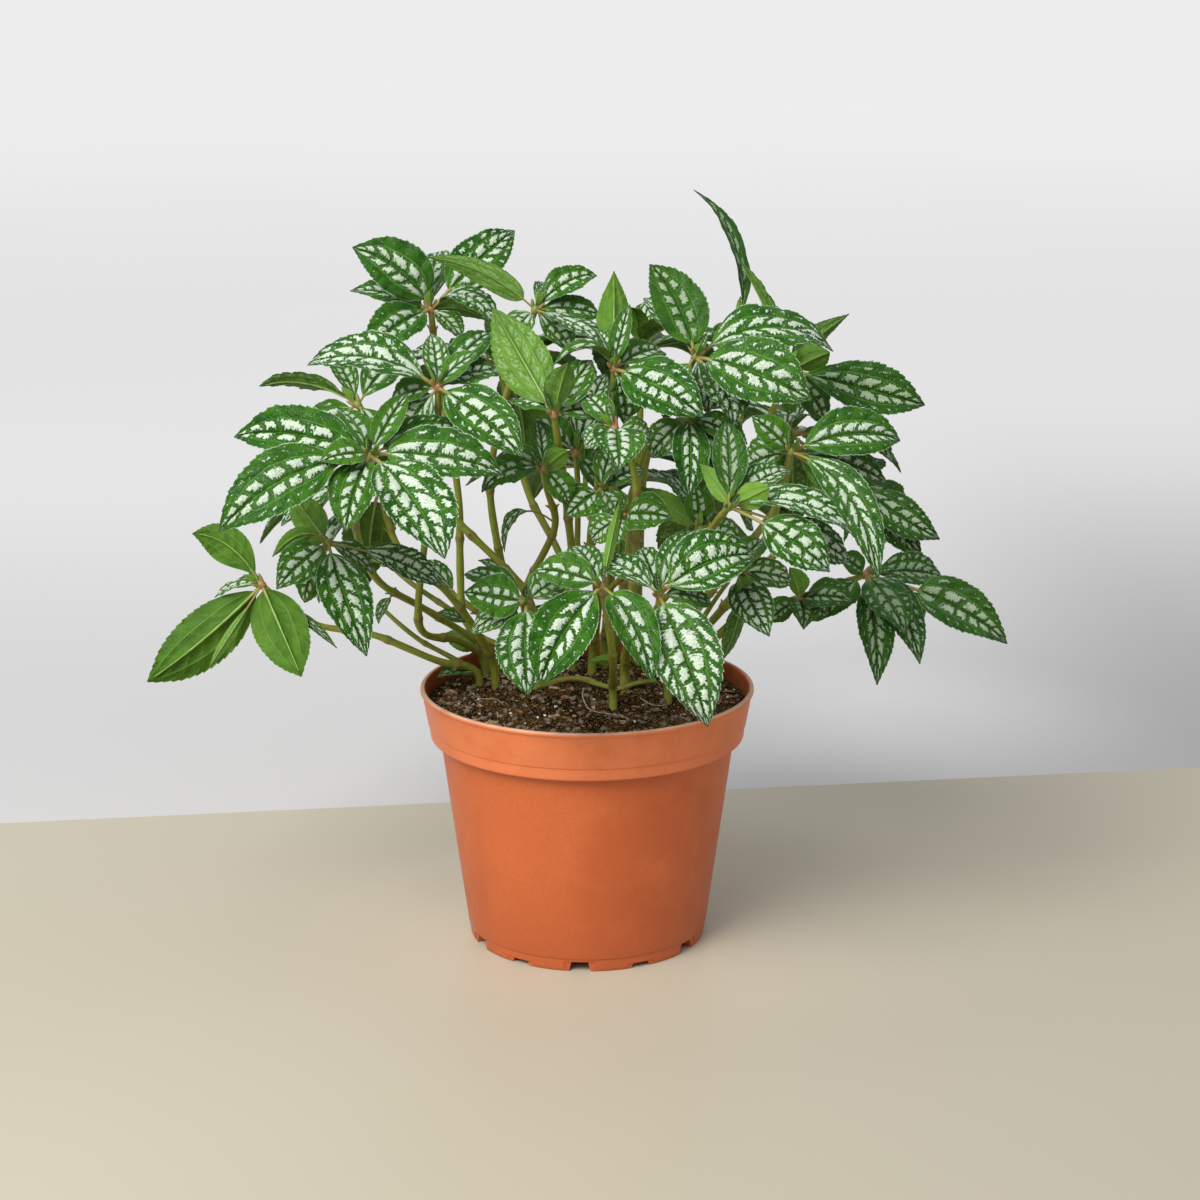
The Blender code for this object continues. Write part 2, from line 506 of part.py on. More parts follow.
def lay_out_stems(placed):
    """A path for each stem and branch, moved in depth where it would cross another."""
    out = {}
    for name, (ground, middle, shoot, branches) in STEMS.items():
        node = SHOOTS[shoot][0]
        foot = sheet_on_soil(*ground)
        tries = sorted(((d, g, t) for d in range(-40, 41, 4) for g in (0, -5, 5, -9, 9) for t in (0, -6, 6)), key=lambda m: (abs(m[0]) + 2 * abs(m[1]) + abs(m[2]), m))
        for bump, ground_x, ground_y in tries:
            at = foot + Vector((ground_x, ground_y, 0)) * MM
            at = at * min(1.0, ROOT_R * MM / math.hypot(at.x, at.y))
            at.z = (soil_height(at.x / MM, at.y / MM) + 2.1) * MM
            depth0 = at.y / MM
            points = [at, at + Vector((0, 0, 0.006)) + (sheet(*middle[0], depth0) - at) * 0.12]
            for k, (u, v) in enumerate(middle):
                f = (k + 1) / (len(middle) + 1)
                points.append(sheet(u, v, depth0 + (node[2] - depth0) * f + bump * math.sin(math.pi * f)))
            points.append(sheet(*node))
            path = smooth_path(points, 2)
            path[-1] = path[-1] - (path[-1] - path[-2]).normalized() * (KNOB_R + STEM_GAP)
            low = 2.4 * MM if len(branches) else 2.1 * MM
            if placed.free(tube(path, low + 0.4 * MM, 1.8 * MM)):
                break
        else:
            print("stem", name, "still crosses another")
        parts = [(path, low, 1.5 * MM)]
        placed.add("stem_" + name, tube(path, low + 0.1 * MM, 1.6 * MM))
        for share, middle_b, shoot_b in branches:
            node_b = SHOOTS[shoot_b][0]
            k = min(int(share * (len(path) - 1)), len(path) - 2)
            start = path[k]
            for bump in sorted(range(-40, 41, 4), key=lambda m: (abs(m), m)):
                points = [start]
                for i, (u, v) in enumerate(middle_b):
                    f = (i + 1) / (len(middle_b) + 1)
                    points.append(sheet(u, v, start.y / MM + (node_b[2] - start.y / MM) * f + bump))
                points.append(sheet(*node_b))
                way = smooth_path(points, 3)
                way[-1] = way[-1] - (way[-1] - way[-2]).normalized() * (KNOB_R + STEM_GAP)
                if placed.free(tube(way, BRANCH_LOW_R + 0.4 * MM, 1.6 * MM), skip=("stem_" + name,)):
                    break
            else:
                print("branch of stem", name, "still crosses another")
            parts.append((way, BRANCH_LOW_R, 1.3 * MM))
            placed.add("stem_" + name, tube(way, BRANCH_LOW_R + 0.1 * MM, 1.4 * MM))
        for share, middle_b in STUBS.get(name, []):
            start = path[min(int(share * (len(path) - 1)), len(path) - 2)]
            for bump in sorted(range(-40, 41, 4), key=lambda m: (abs(m), m)):
                way = smooth_path([start] + [sheet(u, v, start.y / MM + bump * (i + 1) / len(middle_b)) for i, (u, v) in enumerate(middle_b)], 3)
                if placed.free(tube(way, BRANCH_LOW_R + 0.4 * MM, 1.4 * MM), skip=("stem_" + name,)):
                    parts.append((way, BRANCH_LOW_R, 1.1 * MM))
                    placed.add("stem_" + name, tube(way, BRANCH_LOW_R + 0.1 * MM, 1.2 * MM))
                    break
            else:
                print("stem", name, "has no room for a side stem")
        out[name] = parts
    return out


def lay_out_stem_leaves(placed, paths):
    """The small leaves of the stems, each leaned, moved or made smaller until it is clear of the rest."""
    out = {name: [] for name in paths}
    for name, specs in STEM_LEAVES.items():
        path = paths[name][0][0]
        for share, spec in specs:
            node = on_sheet(path[round(share * (len(path) - 1))])
            for deeper, leaner, size in sorted(((d, a, s) for d in (0, -4, 4, -8, 8, -13, 13) for a in (0, -20, 20, -40, 40) for s in (1.0, 0.85, 0.7)), key=lambda m: (abs(m[0]) + abs(m[1]) / 3 + (1 - m[2]) * 40, m)):
                made = Leaf(node, spec, deeper, leaner, size)
                if placed.free(made.solid(LEAF_THICK + 2 * LEAF_CLEAR), skip=("stem_" + name,)):
                    out[name].append(made)
                    placed.add("stem_" + name, made.solid())
                    break
            else:
                print("stem", name, "has no room for a small leaf")
    return out


def knob(at, r=KNOB_R):
    rings = []
    for z in (-0.72, 0.0, 0.72):
        q = math.sqrt(1 - z * z)
        rings.append([at + Vector((q * math.cos(a), q * math.sin(a), z)) * r for a in (2 * math.pi * i / 6 for i in range(6))])
    return triangles(*loft(rings))


def lay_out_leaves(placed):
    """The leaves of each shoot, the large near ones first; one that would touch another shoot is moved in depth,
    then leaned, then made smaller, whichever is the least change."""
    for name, (node, _) in SHOOTS.items():
        placed.add("leaves_" + name, knob(sheet(*node), KNOB_R + 0.4 * MM))
    order = []
    for name, (node, specs) in SHOOTS.items():
        for k, spec in enumerate(specs):
            size = 0.3 * spec["long"] * spec["wide"] if "az" in spec else math.hypot(spec["u"] - node[0], spec["v"] - node[1]) * spec["wide"]
            order.append((-size * (1 - node[2] / 250), name, k))
    order.sort()
    moves = [(d, a, s) for d in (0, -5, 5, -10, 10, -16, 16, -23, 23, -30, 30, -38, 38) for a in (0, -14, 14, -28, 28, -42, 42) for s in (1.0, 0.93, 0.86, 0.78, 0.7)]
    moves.sort(key=lambda m: (abs(m[0]) / 10 + abs(m[1]) / 16 + (1 - m[2]) * 11, m))
    out = {name: {} for name in SHOOTS}
    blades = Placed()
    left = []
    for _, name, k in order:
        node, specs = SHOOTS[name]
        for deeper, leaner, size in moves:
            made = Leaf(node, specs[k], deeper, leaner, size)
            if not placed.free(made.solid(LEAF_THICK + 2 * LEAF_CLEAR), skip=("leaves_" + name,)):
                continue
            blade = made.solid(LEAF_THICK + LEAF_CLEAR, first=made.pet + 0.1)
            if blades.free(blade, skip=tuple(n for n in SHOOTS if n != name)):
                break
        else:
            left.append((name, k))
            continue
        placed.add("leaves_" + name, made.solid())
        blades.add(name, blade)
        out[name][k] = made
    print("leaves placed", sum(len(v) for v in out.values()), "left out", left)
    return out


# ---------------------------------------------------------------------------------------------- objects


def principled(name, colour, roughness):
    material = bpy.data.materials.new(name)
    material.use_nodes = True
    shader = material.node_tree.nodes["Principled BSDF"]
    shader.inputs["Base Color"].default_value = (*colour, 1)
    shader.inputs["Roughness"].default_value = roughness
    return material


def mesh_of(name, solid):
    mesh = bpy.data.meshes.new(name)
    mesh.from_pydata([tuple(p) for p in solid[0]], [], [tuple(f) for f in solid[1]])
    mesh.validate()
    return mesh


def joined(mesh):
    """Cleans the mesh, and says whether it is one closed body."""
    bm = bmesh.new()
    bm.from_mesh(mesh)
    bmesh.ops.remove_doubles(bm, verts=bm.verts[:], dist=2e-6)
    bmesh.ops.dissolve_degenerate(bm, edges=bm.edges[:], dist=2e-6)
    bmesh.ops.triangulate(bm, faces=bm.faces[:])
    closed = all(e.is_manifold for e in bm.edges)
    seen, front = set(), [bm.verts[:][0]]
    while front:
        v = front.pop()
        if v not in seen:
            seen.add(v)
            front += [e.other_vert(v) for e in v.link_edges]
    whole = len(seen) == len(bm.verts)
    bm.to_mesh(mesh)
    bm.free()
    return closed and whole


def united(name, solids):
    """One mesh: the Boolean union of the solids, one after the other."""
    base = bpy.data.objects.new(name + "_union", mesh_of(name, solids[0]))
    bpy.context.scene.collection.objects.link(base)
    for solid in solids[1:]:
        for nudge in range(6):
            step = Vector((0.05, -0.07, 0.04)) * nudge * MM
            other = bpy.data.objects.new(name + "_add", mesh_of(name + "_add", ([p + step for p in solid[0]], solid[1])))
            bpy.context.scene.collection.objects.link(other)
            boolean = base.modifiers.new("union", "BOOLEAN")
            boolean.operation = "UNION"
            boolean.solver = "EXACT"
            boolean.object = other
            graph = bpy.context.evaluated_depsgraph_get()
            graph.update()
            mesh = bpy.data.meshes.new_from_object(base.evaluated_get(graph))
            base.modifiers.clear()
            bpy.data.objects.remove(other)
            if joined(mesh):
                base.data = mesh
                break
        else:
            print(name, "one part didn't join")
    made = base.data
    bpy.data.objects.remove(base)
    return made


def add(collection, name, mesh, material, shift):
    mesh.materials.clear()
    mesh.materials.append(material)
    obj = bpy.data.objects.new(name, mesh)
    obj.location = shift
    collection.objects.link(obj)
    return obj


def cutter(collection, name, points, faces, shift):
    obj = bpy.data.objects.new(name, mesh_of(name, triangles(points, faces)))
    obj.location = shift
    obj.hide_render = True
    obj.display_type = "WIRE"
    collection.objects.link(obj)
    return obj


def prism(outline, low, high):
    """A closed prism over an outline of (x, y) points, in millimetres."""
    rings = [[Vector((x, y, z)) * MM for x, y in outline] for z in (low, high)]
    return loft(rings)


def main():
    for obj in list(bpy.data.objects):
        bpy.data.objects.remove(obj)
    scene = bpy.context.scene
    parts = bpy.data.collections.new("aluminium_plant")
    cutters = bpy.data.collections.new("cutters")
    cutters.hide_render = True
    scene.collection.children.link(parts)
    scene.collection.children.link(cutters)

    orange = principled("pot_plastic", (0.56, 0.17, 0.06), 0.45)
    earth = principled("soil", (0.035, 0.022, 0.014), 0.95)
    green = principled("leaf", (0.05, 0.17, 0.035), 0.4)
    olive = principled("stem", (0.17, 0.22, 0.03), 0.5)

    placed = Placed()
    placed.add("pot", pot_guard())
    paths = lay_out_stems(placed)
    small = lay_out_stem_leaves(placed, paths)
    leaves = lay_out_leaves(placed)

    made = []
    for name, ways in paths.items():
        made.append(("stem_" + name, united("stem_" + name, [tube(*way) for way in ways] + [one.solid() for one in small[name]]), olive))
    for name, blades in leaves.items():
        solids = [knob(sheet(*SHOOTS[name][0]))] + [blades[k].solid() for k in sorted(blades)]
        made.append(("leaves_" + name, united("leaves_" + name, solids), green))

    # The object's own frame: the middle of its box across and in depth, the pot's foot at zero.
    every = [v.co for _, mesh, _ in made for v in mesh.vertices]
    lo = [min(min(p[i] for p in every), -RIM_R * MM) for i in (0, 1)]
    hi = [max(max(p[i] for p in every), RIM_R * MM) for i in (0, 1)]
    shift = Vector((-(lo[0] + hi[0]) / 2, -(lo[1] + hi[1]) / 2, 0))
    print("shift mm", [round(c / MM, 3) for c in shift])

    profile = bpy.data.meshes.new("pot")
    outline = pot_profile()
    profile.from_pydata([(r * MM, 0, z * MM) for r, z in outline], [(i, (i + 1) % len(outline)) for i in range(len(outline))], [])
    pot = add(parts, "pot", profile, orange, shift)
    screw = pot.modifiers.new("turn", "SCREW")
    screw.steps = screw.render_steps = POT_STEPS
    screw.use_merge_vertices = True
    screw.merge_threshold = 0.0001
    screw.use_normal_calculate = True
    holes = 6
    for i in range(holes):
        a = 2 * math.pi * (i + 0.5) / holes
        x, y = DRAIN_AT * math.cos(a), DRAIN_AT * math.sin(a)
        ring = [(x + DRAIN_R * math.cos(b), y + DRAIN_R * math.sin(b)) for b in (2 * math.pi * j / 12 for j in range(12))]
        hole = cutter(cutters, f"drain_{i}", *prism(ring, -1.0, BASE_UNDER + BASE_THICK + 1.0), shift)
        boolean = pot.modifiers.new(f"drain_{i}", "BOOLEAN")
        boolean.solver = "EXACT"
        boolean.object = hole
    notches = 12
    for i in range(notches):
        a = -math.pi / 2 - 0.06 + 2 * math.pi * i / notches
        along, across = Vector((math.cos(a), math.sin(a), 0)), Vector((-math.sin(a), math.cos(a), 0))
        tall = NOTCH_LOW if i % 2 else NOTCH_TALL
        rings = []
        for r in (FOOT_R - FOOT_RING - 4.0, FOOT_R + 3.0):
            rings.append([(along * r + across * w + Vector((0, 0, z))) * MM for w, z in ((-NOTCH_WIDE / 2, -1.0), (NOTCH_WIDE / 2, -1.0), (NOTCH_WIDE / 2 - 1.4, tall), (-NOTCH_WIDE / 2 + 1.4, tall))])
        notch = cutter(cutters, f"notch_{i}", *loft(rings), shift)
        boolean = pot.modifiers.new(f"notch_{i}", "BOOLEAN")
        boolean.solver = "EXACT"
        boolean.object = notch

    add(parts, "soil", mesh_of("soil", soil_solid()), earth, shift)
    for name, mesh, material in made:
        add(parts, name, mesh, material, shift)


main()
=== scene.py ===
"""Potted aluminium plant: fine leaves, stems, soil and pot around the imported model."""

import json
import math
import random

import bmesh
import bpy
import numpy as np
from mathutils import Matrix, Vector, noise
from mathutils.bvhtree import BVHTree

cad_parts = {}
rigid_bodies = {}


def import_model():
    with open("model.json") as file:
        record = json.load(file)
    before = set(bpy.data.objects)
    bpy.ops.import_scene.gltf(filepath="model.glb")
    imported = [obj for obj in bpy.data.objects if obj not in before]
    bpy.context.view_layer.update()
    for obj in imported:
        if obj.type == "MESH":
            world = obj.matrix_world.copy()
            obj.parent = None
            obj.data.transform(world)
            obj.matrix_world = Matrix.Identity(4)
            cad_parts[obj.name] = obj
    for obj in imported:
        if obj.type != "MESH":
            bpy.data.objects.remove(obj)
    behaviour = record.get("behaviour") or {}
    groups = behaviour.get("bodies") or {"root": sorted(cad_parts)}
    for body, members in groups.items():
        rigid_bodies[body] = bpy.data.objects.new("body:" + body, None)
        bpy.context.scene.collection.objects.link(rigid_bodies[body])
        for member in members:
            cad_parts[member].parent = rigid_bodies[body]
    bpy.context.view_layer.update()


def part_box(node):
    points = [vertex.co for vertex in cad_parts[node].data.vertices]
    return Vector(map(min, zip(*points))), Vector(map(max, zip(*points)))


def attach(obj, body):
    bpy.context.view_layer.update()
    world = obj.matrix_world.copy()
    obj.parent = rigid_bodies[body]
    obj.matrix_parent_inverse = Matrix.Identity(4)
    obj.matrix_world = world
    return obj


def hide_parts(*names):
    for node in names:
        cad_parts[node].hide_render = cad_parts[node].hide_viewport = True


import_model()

# ------------------------------------------------------------------------------------------ the CAD's layout
# The same sizes, sheet and placing as in the CAD source, so that each fine leaf lies where its solid does.

MM = 0.001

# Pot, in millimetres: a 6 inch nursery pot.
RIM_R = 77.9
RIM_TOP = 121.0
LIP_TALL = 1.8
BAND_TOP_R = 77.1
BAND_LOW_R = 73.4
BAND_LOW_Z = 97.9
GROOVE_UP = 5.6
BODY_TOP_R = 68.9
BODY_TOP_Z = 97.4
BODY_LOW_R = 56.7
FOOT_R = 56.1
FOOT_TALL = 6.0
WALL = 1.5
BASE_UNDER = 4.8
BASE_THICK = 1.8
FOOT_RING = 4.0
DRAIN_R = 4.5
DRAIN_AT = 36.0
NOTCH_TALL = 4.2
NOTCH_LOW = 1.9
NOTCH_WIDE = 10.5
POT_STEPS = 44

# Soil, in millimetres.
SOIL_EDGE_Z = 113.0
SOIL_MID_Z = 116.0
SOIL_GAP = 0.35

# Sheet.
EYE = Vector((0.0060, -1.147, 0.463))
EYE_TILT = math.radians(14.73)
EYE_SCALE = 2559.0
SHEET_MID = 600.0
UNIT = 0.467 * MM

# Stems and leaves.
KNOB_R = 2.3 * MM
STEM_GAP = 0.45 * MM
STEM_SIDES = 6
LEAF_THICK = 1.0 * MM
LEAF_CLEAR = 0.5 * MM
PETIOLE_R = 0.85 * MM
TILT_OUT = 0.2  # how far a leaf that hangs down the sheet comes forward, in millimetres a sheet unit
MORE_LEAN = 12  # degrees that every upper face leans up beyond its own lean


def sheet(u, v, depth):
    """The point seen at (u, v) on the sheet, `depth` millimetres behind the pot's axis."""
    c, s = math.cos(EYE_TILT), math.sin(EYE_TILT)
    ray = Vector((u - SHEET_MID, EYE_SCALE * c + (SHEET_MID - v) * s, -EYE_SCALE * s + (SHEET_MID - v) * c))
    return EYE + ray * ((depth * MM - EYE.y) / ray.y)


def on_sheet(point):
    """Where the point is seen on the sheet, and its depth."""
    c, s = math.cos(EYE_TILT), math.sin(EYE_TILT)
    ray = point - EYE
    ahead = ray.y * c - ray.z * s
    return SHEET_MID + EYE_SCALE * ray.x / ahead, SHEET_MID - EYE_SCALE * (ray.y * s + ray.z * c) / ahead, point.y / MM


def sheet_on_soil(u, v):
    """The point seen at (u, v) on the soil's top."""
    c, s = math.cos(EYE_TILT), math.sin(EYE_TILT)
    ray = Vector((u - SHEET_MID, EYE_SCALE * c + (SHEET_MID - v) * s, -EYE_SCALE * s + (SHEET_MID - v) * c))
    p = EYE + ray * ((SOIL_MID_Z * MM - EYE.z) / ray.z)
    return Vector((p.x, p.y, 0))


# ---------------------------------------------------------------------------------------------- layout


def leaf(u, v, deep, wide, lean=10, pet=0.12, arch=0.10, bow=(0, 0), fold=12, curl=0.1, form=1.0):
    """A leaf: its tip on the sheet, how far the tip is behind its node, its width in sheet units, how far its
    upper face leans up from the viewer (180 shows the underside), the petiole's share of the length, how far
    it arches, a shift of its middle on the sheet, the fold along the midrib, the roll-down of the margins and
    its form: under 1 it is widest nearer its base, over 1 nearer its tip."""
    return dict(u=u, v=v, deep=deep, wide=wide, lean=lean, pet=pet, arch=arch, bow=bow, fold=fold, curl=curl, form=form)


def turned(az, el, long, wide, pet=0.12, arch=0.14, fold=12, curl=0.1):
    """A leaf by its direction: az degrees round from the back toward +X, el degrees above level, its length and
    width in millimetres."""
    return dict(az=az, el=el, long=long, wide=wide, lean=0, pet=pet, arch=arch, fold=fold, curl=curl, form=1.0)


def far_side(az):
    """A rosette of the far side that leans out toward az: four large leaves, a lower pair, two middle leaves and
    two young ones."""
    return [
        turned(az - 72, -6, 64, 29), turned(az - 22, -24, 66, 30), turned(az + 30, -18, 62, 28), turned(az + 80, -4, 60, 28),
        turned(az - 42, -58, 64, 29, pet=0.2), turned(az + 48, -62, 60, 28, pet=0.2),
        turned(az - 125, 14, 46, 21), turned(az + 140, 20, 44, 20), turned(az + 10, 48, 32, 13), turned(az - 170, 58, 30, 12),
    ]


UNDER = 180

SHOOTS = {
    "01": ((370, 455, -72), [
        leaf(446, 557, -25, 62, 18, form=1.1), leaf(231, 434, 4, 50, 18, pet=0.08, bow=(0, -2), form=0.95), leaf(217, 531, -12, 58, 10, pet=0.2, bow=(-5, -9)),
        leaf(505, 474, 6, 48, 25, form=0.9), leaf(466, 430, 26, 36, 20), leaf(408, 392, 0, 28, 0, fold=22), leaf(320, 461, -14, 26, 25),
        leaf(345, 532, -10, 46, 10), leaf(250, 492, 22, 46, 10, bow=(0, -10)), leaf(338, 408, 8, 26, 30)]),
    "02": ((438, 388, -30), [
        leaf(307, 365, -4, 40, 35, bow=(0, -8)), leaf(431, 333, 0, 27, 0, fold=24), leaf(523, 457, -22, 52, 10),
        leaf(494, 330, 18, 30, 20), leaf(478, 352, -6, 20, 30), leaf(503, 372, 8, 28, 40), leaf(404, 440, 18, 40, 20),
        leaf(466, 424, 24, 32, 20), leaf(388, 404, 12, 26, 30)]),
    "03": ((431, 310, 42), [
        leaf(352, 247, -8, 58, 0, bow=(8, -6), form=0.9), leaf(516, 228, 10, 50, 0, pet=0.2, form=0.85), leaf(388, 320, -8, 32, 40),
        leaf(500, 330, -16, 24, 50, bow=(0, -16)), leaf(490, 321, 12, 18, 150, pet=0.06, bow=(0, -4)), leaf(364, 352, -26, 44, 15),
        leaf(440, 250, 30, 40, 10), leaf(350, 291, -2, 28, 30), leaf(462, 340, -4, 22, 30, fold=20)]),
    "04": ((535, 310, 22), [
        leaf(426, 257, -18, 27, UNDER, bow=(4, -10), arch=0.02, form=0.72), leaf(598, 274, 2, 30, 25, bow=(0, -4)),
        leaf(607, 345, -22, 24, 55, arch=0.04), leaf(574, 324, 16, 24, 170), leaf(508, 345, 14, 30, 20),
        leaf(552, 288, 30, 26, 10), leaf(572, 352, 4, 30, 20), leaf(602, 316, 8, 26, 25)]),
    "05": ((554, 415, -45), [
        leaf(493, 308, 4, 54, UNDER, arch=0.03, form=1.12), leaf(568, 362, -4, 28, 155, arch=0.05), leaf(592, 360, 8, 34, 0),
        leaf(520, 400, 22, 34, 30), leaf(600, 412, 16, 28, 25)]),
    "06": ((614, 369, -25), [
        leaf(630, 304, 0, 22, 0, fold=26, form=0.85), leaf(552, 364, -10, 18, 65, bow=(6, -18), arch=0.02), leaf(704, 416, -22, 54, 12),
        leaf(614, 272, 12, 38, UNDER, pet=0.4, arch=0.02, form=0.62, fold=20), leaf(664, 350, 18, 30, 30),
        leaf(596, 330, 10, 20, 20, fold=26), leaf(624, 424, 6, 32, 30)]),
    "07": ((695, 357, -20), [
        leaf(649, 262, 4, 52, 0, bow=(6, 0), form=0.85), leaf(643, 297, 16, 22, 10, fold=24), leaf(838, 347, 8, 42, 38, bow=(-4, -12)),
        leaf(812, 400, -16, 64, 14), leaf(736, 426, -10, 36, 40), leaf(664, 420, 8, 34, 20), leaf(708, 414, 4, 32, 30)]),
    "08": ((790, 370, 38), [
        leaf(739, 259, -4, 20, 120, arch=0.03, form=0.7), leaf(830, 352, -12, 30, 160, arch=0.05), leaf(849, 314, 16, 24, 150, form=0.7),
        leaf(925, 405, -6, 52, 10, bow=(0, 5), form=1.12), leaf(765, 400, -20, 34, 30), leaf(826, 424, 18, 30, 20)]),
    "09": ((791, 452, -60), [
        leaf(903, 439, 2, 48, 12, bow=(0, -6), form=1.12), leaf(752, 416, -8, 30, 5, fold=20), leaf(879, 581, -16, 38, 10, bow=(12, -12)),
        leaf(874, 508, 12, 36, UNDER, arch=0.04, form=1.2), leaf(888, 484, 26, 34, 20), leaf(742, 470, 16, 36, 20)]),
    "10": ((862, 484, 48), [
        leaf(941, 538, -6, 40, 10, bow=(-6, 7), form=0.9), leaf(924, 556, 4, 40, 15, bow=(-8, 4)), leaf(878, 458, 16, 28, 15),
        leaf(902, 512, 26, 34, 15), leaf(884, 546, 14, 32, 20)]),
    "11": ((865, 575, -4), [
        leaf(1011, 643, -6, 50, 10, pet=0.34, bow=(2, -3), form=0.8), leaf(920, 664, -14, 40, 8, pet=0.1, bow=(8, 0), form=0.8),
        leaf(877, 685, -22, 40, 5, pet=0.2, form=0.85), leaf(906, 634, -26, 40, 15), leaf(944, 578, 12, 36, 25, form=1.1),
        leaf(926, 620, 20, 26, 10, pet=0.4, fold=24), leaf(838, 556, -6, 24, 20), leaf(823, 618, -8, 34, 25, pet=0.2)]),
    "12": ((729, 507, -90), [
        leaf(771, 487, -4, 26, UNDER, arch=0.04), leaf(726, 420, 2, 34, 0), leaf(792, 468, 10, 26, 30),
        leaf(700, 464, 6, 20, 160), leaf(858, 537, -2, 27, 40, bow=(0, -9)), leaf(831, 571, -10, 46, 10, pet=0.34),
        leaf(752, 524, 14, 22, 30, pet=0.3), leaf(850, 562, 20, 34, 20, pet=0.4)]),
    "13": ((659, 595, -92), [
        leaf(756, 555, 0, 58, 10, bow=(0, -8)), leaf(697, 528, 8, 34, 10), leaf(709, 727, -6, 66, 0, pet=0.08, form=0.95),
        leaf(590, 556, 10, 26, 35), leaf(640, 548, 20, 28, 0), leaf(712, 604, 10, 22, 30)]),
    "14": ((602, 586, -94), [
        leaf(533, 569, 2, 34, 20), leaf(620, 500, 2, 13, UNDER, fold=34), leaf(540, 684, -4, 60, 0, pet=0.08, bow=(-6, 0)),
        leaf(652, 683, -8, 42, 5, bow=(6, -4), form=0.85), leaf(572, 545, 22, 28, 10)]),
    "15": ((527, 602, -85), [
        leaf(464, 591, -4, 42, 10, bow=(0, 3)), leaf(463, 571, 14, 24, 30), leaf(563, 578, 8, 32, 15),
        leaf(527, 695, -12, 52, 0, form=1.1), leaf(470, 633, 4, 24, 10)]),
    "16": ((328, 543, -46), [
        leaf(290, 492, 4, 34, UNDER, arch=0.04), leaf(276, 589, -8, 40, 10, form=0.9), leaf(367, 656, -14, 48, 5, bow=(-6, 0), form=0.9),
        leaf(303, 604, 14, 28, 10), leaf(272, 557, -4, 16, UNDER, pet=0.3, bow=(2, -16)), leaf(444, 586, 16, 30, 20, pet=0.3),
        leaf(374, 574, 8, 22, 30)]),
    "17": ((262, 585, -8), [
        leaf(147, 682, -10, 60, UNDER, pet=0.06, arch=0.03, fold=20, bow=(0, 5), form=1.0), leaf(302, 678, -12, 56, UNDER, pet=0.05, arch=0.03, form=0.8),
        leaf(193, 534, -4, 38, UNDER, arch=0.03, bow=(2, -13), form=1.1), leaf(209, 668, -22, 12, UNDER, pet=0.22, fold=34),
        leaf(214, 597, 10, 20, 60)]),
    "18": ((543, 469, -35), [
        leaf(496, 455, 0, 24, 30), leaf(480, 491, -6, 28, 35, bow=(0, -5)), leaf(537, 420, 6, 24, 5, fold=20),
        leaf(568, 450, -8, 22, 165), leaf(570, 505, 6, 28, 20)]),
    "19": ((576, 454, 12), [
        leaf(606, 371, 4, 36, 5), leaf(534, 418, 6, 34, 10), leaf(545, 385, 22, 34, 10), leaf(600, 492, 2, 24, 30)]),
    "20": ((600, 490, -25), [
        leaf(616, 441, 0, 26, 5), leaf(620, 519, -8, 28, 20), leaf(566, 517, -8, 38, 5), leaf(645, 468, 4, 28, 25)]),
    "21": ((615, 429, -55), [
        leaf(619, 470, -30, 50, 0, pet=0.05), leaf(585, 395, 10, 26, 10), leaf(652, 438, 10, 26, 20), leaf(584, 448, 4, 22, 30)]),
    "22": ((688, 418, -35), [
        leaf(689, 496, -14, 36, 0, pet=0.06), leaf(736, 470, 8, 34, 20), leaf(650, 458, 14, 30, 20), leaf(716, 484, 2, 26, 20, fold=20), leaf(748, 444, 12, 28, 20)]),
    "23": ((624, 516, -45), [
        leaf(672, 517, -16, 38, 15), leaf(617, 545, -10, 20, 10), leaf(590, 540, 10, 28, 10)]),
    "24": ((700, 529, -35), [
        leaf(694, 484, 0, 30, 5), leaf(660, 470, 4, 20, 45), leaf(638, 487, 12, 24, 165), leaf(742, 545, 8, 32, 15)]),
    "25": ((738, 572, -60), [
        leaf(770, 636, -10, 40, 5, pet=0.16, bow=(-5, 0)), leaf(742, 590, -12, 20, 160, arch=0.04), leaf(721, 661, 8, 18, 150, pet=0.4, bow=(14, -4)),
        leaf(764, 540, 12, 28, 20), leaf(794, 582, 10, 28, 20)]),
    "26": ((358, 405, 42), [
        leaf(259, 385, -4, 22, 115, arch=0.03, bow=(0, -9)), leaf(330, 352, 12, 26, 10), leaf(402, 352, 16, 36, 10),
        leaf(310, 440, 16, 38, 20), leaf(378, 446, 4, 30, 20)]),
    "27": ((800, 600, -25), [
        leaf(804, 628, -26, 34, 5, pet=0.05), leaf(768, 622, 2, 26, 15), leaf(790, 567, 0, 22, 150), leaf(852, 600, -18, 30, 25),
        leaf(828, 616, 8, 28, 10)]),
    "28": ((742, 322, 52), [
        leaf(695, 187, 4, 17, 45, pet=0.08, bow=(16, -8), arch=0.0), leaf(786, 345, 22, 30, 10),
        leaf(718, 350, 22, 32, 10)]),
    # The far side, which carries as many leaves as the front.
    "29": ((640, 352, 88), far_side(8)),
    "30": ((500, 365, 90), far_side(-24)),
    "31": ((792, 436, 88), far_side(48)),
    "32": ((380, 490, 66), far_side(-66)),
    "33": ((585, 470, 122), far_side(-6)[:4] + far_side(-6)[5:]),
    "34": ((700, 500, 108), far_side(28)),
}

# Every stem leaves the soil within this radius of the pot's axis, in millimetres.
ROOT_R = 64.0

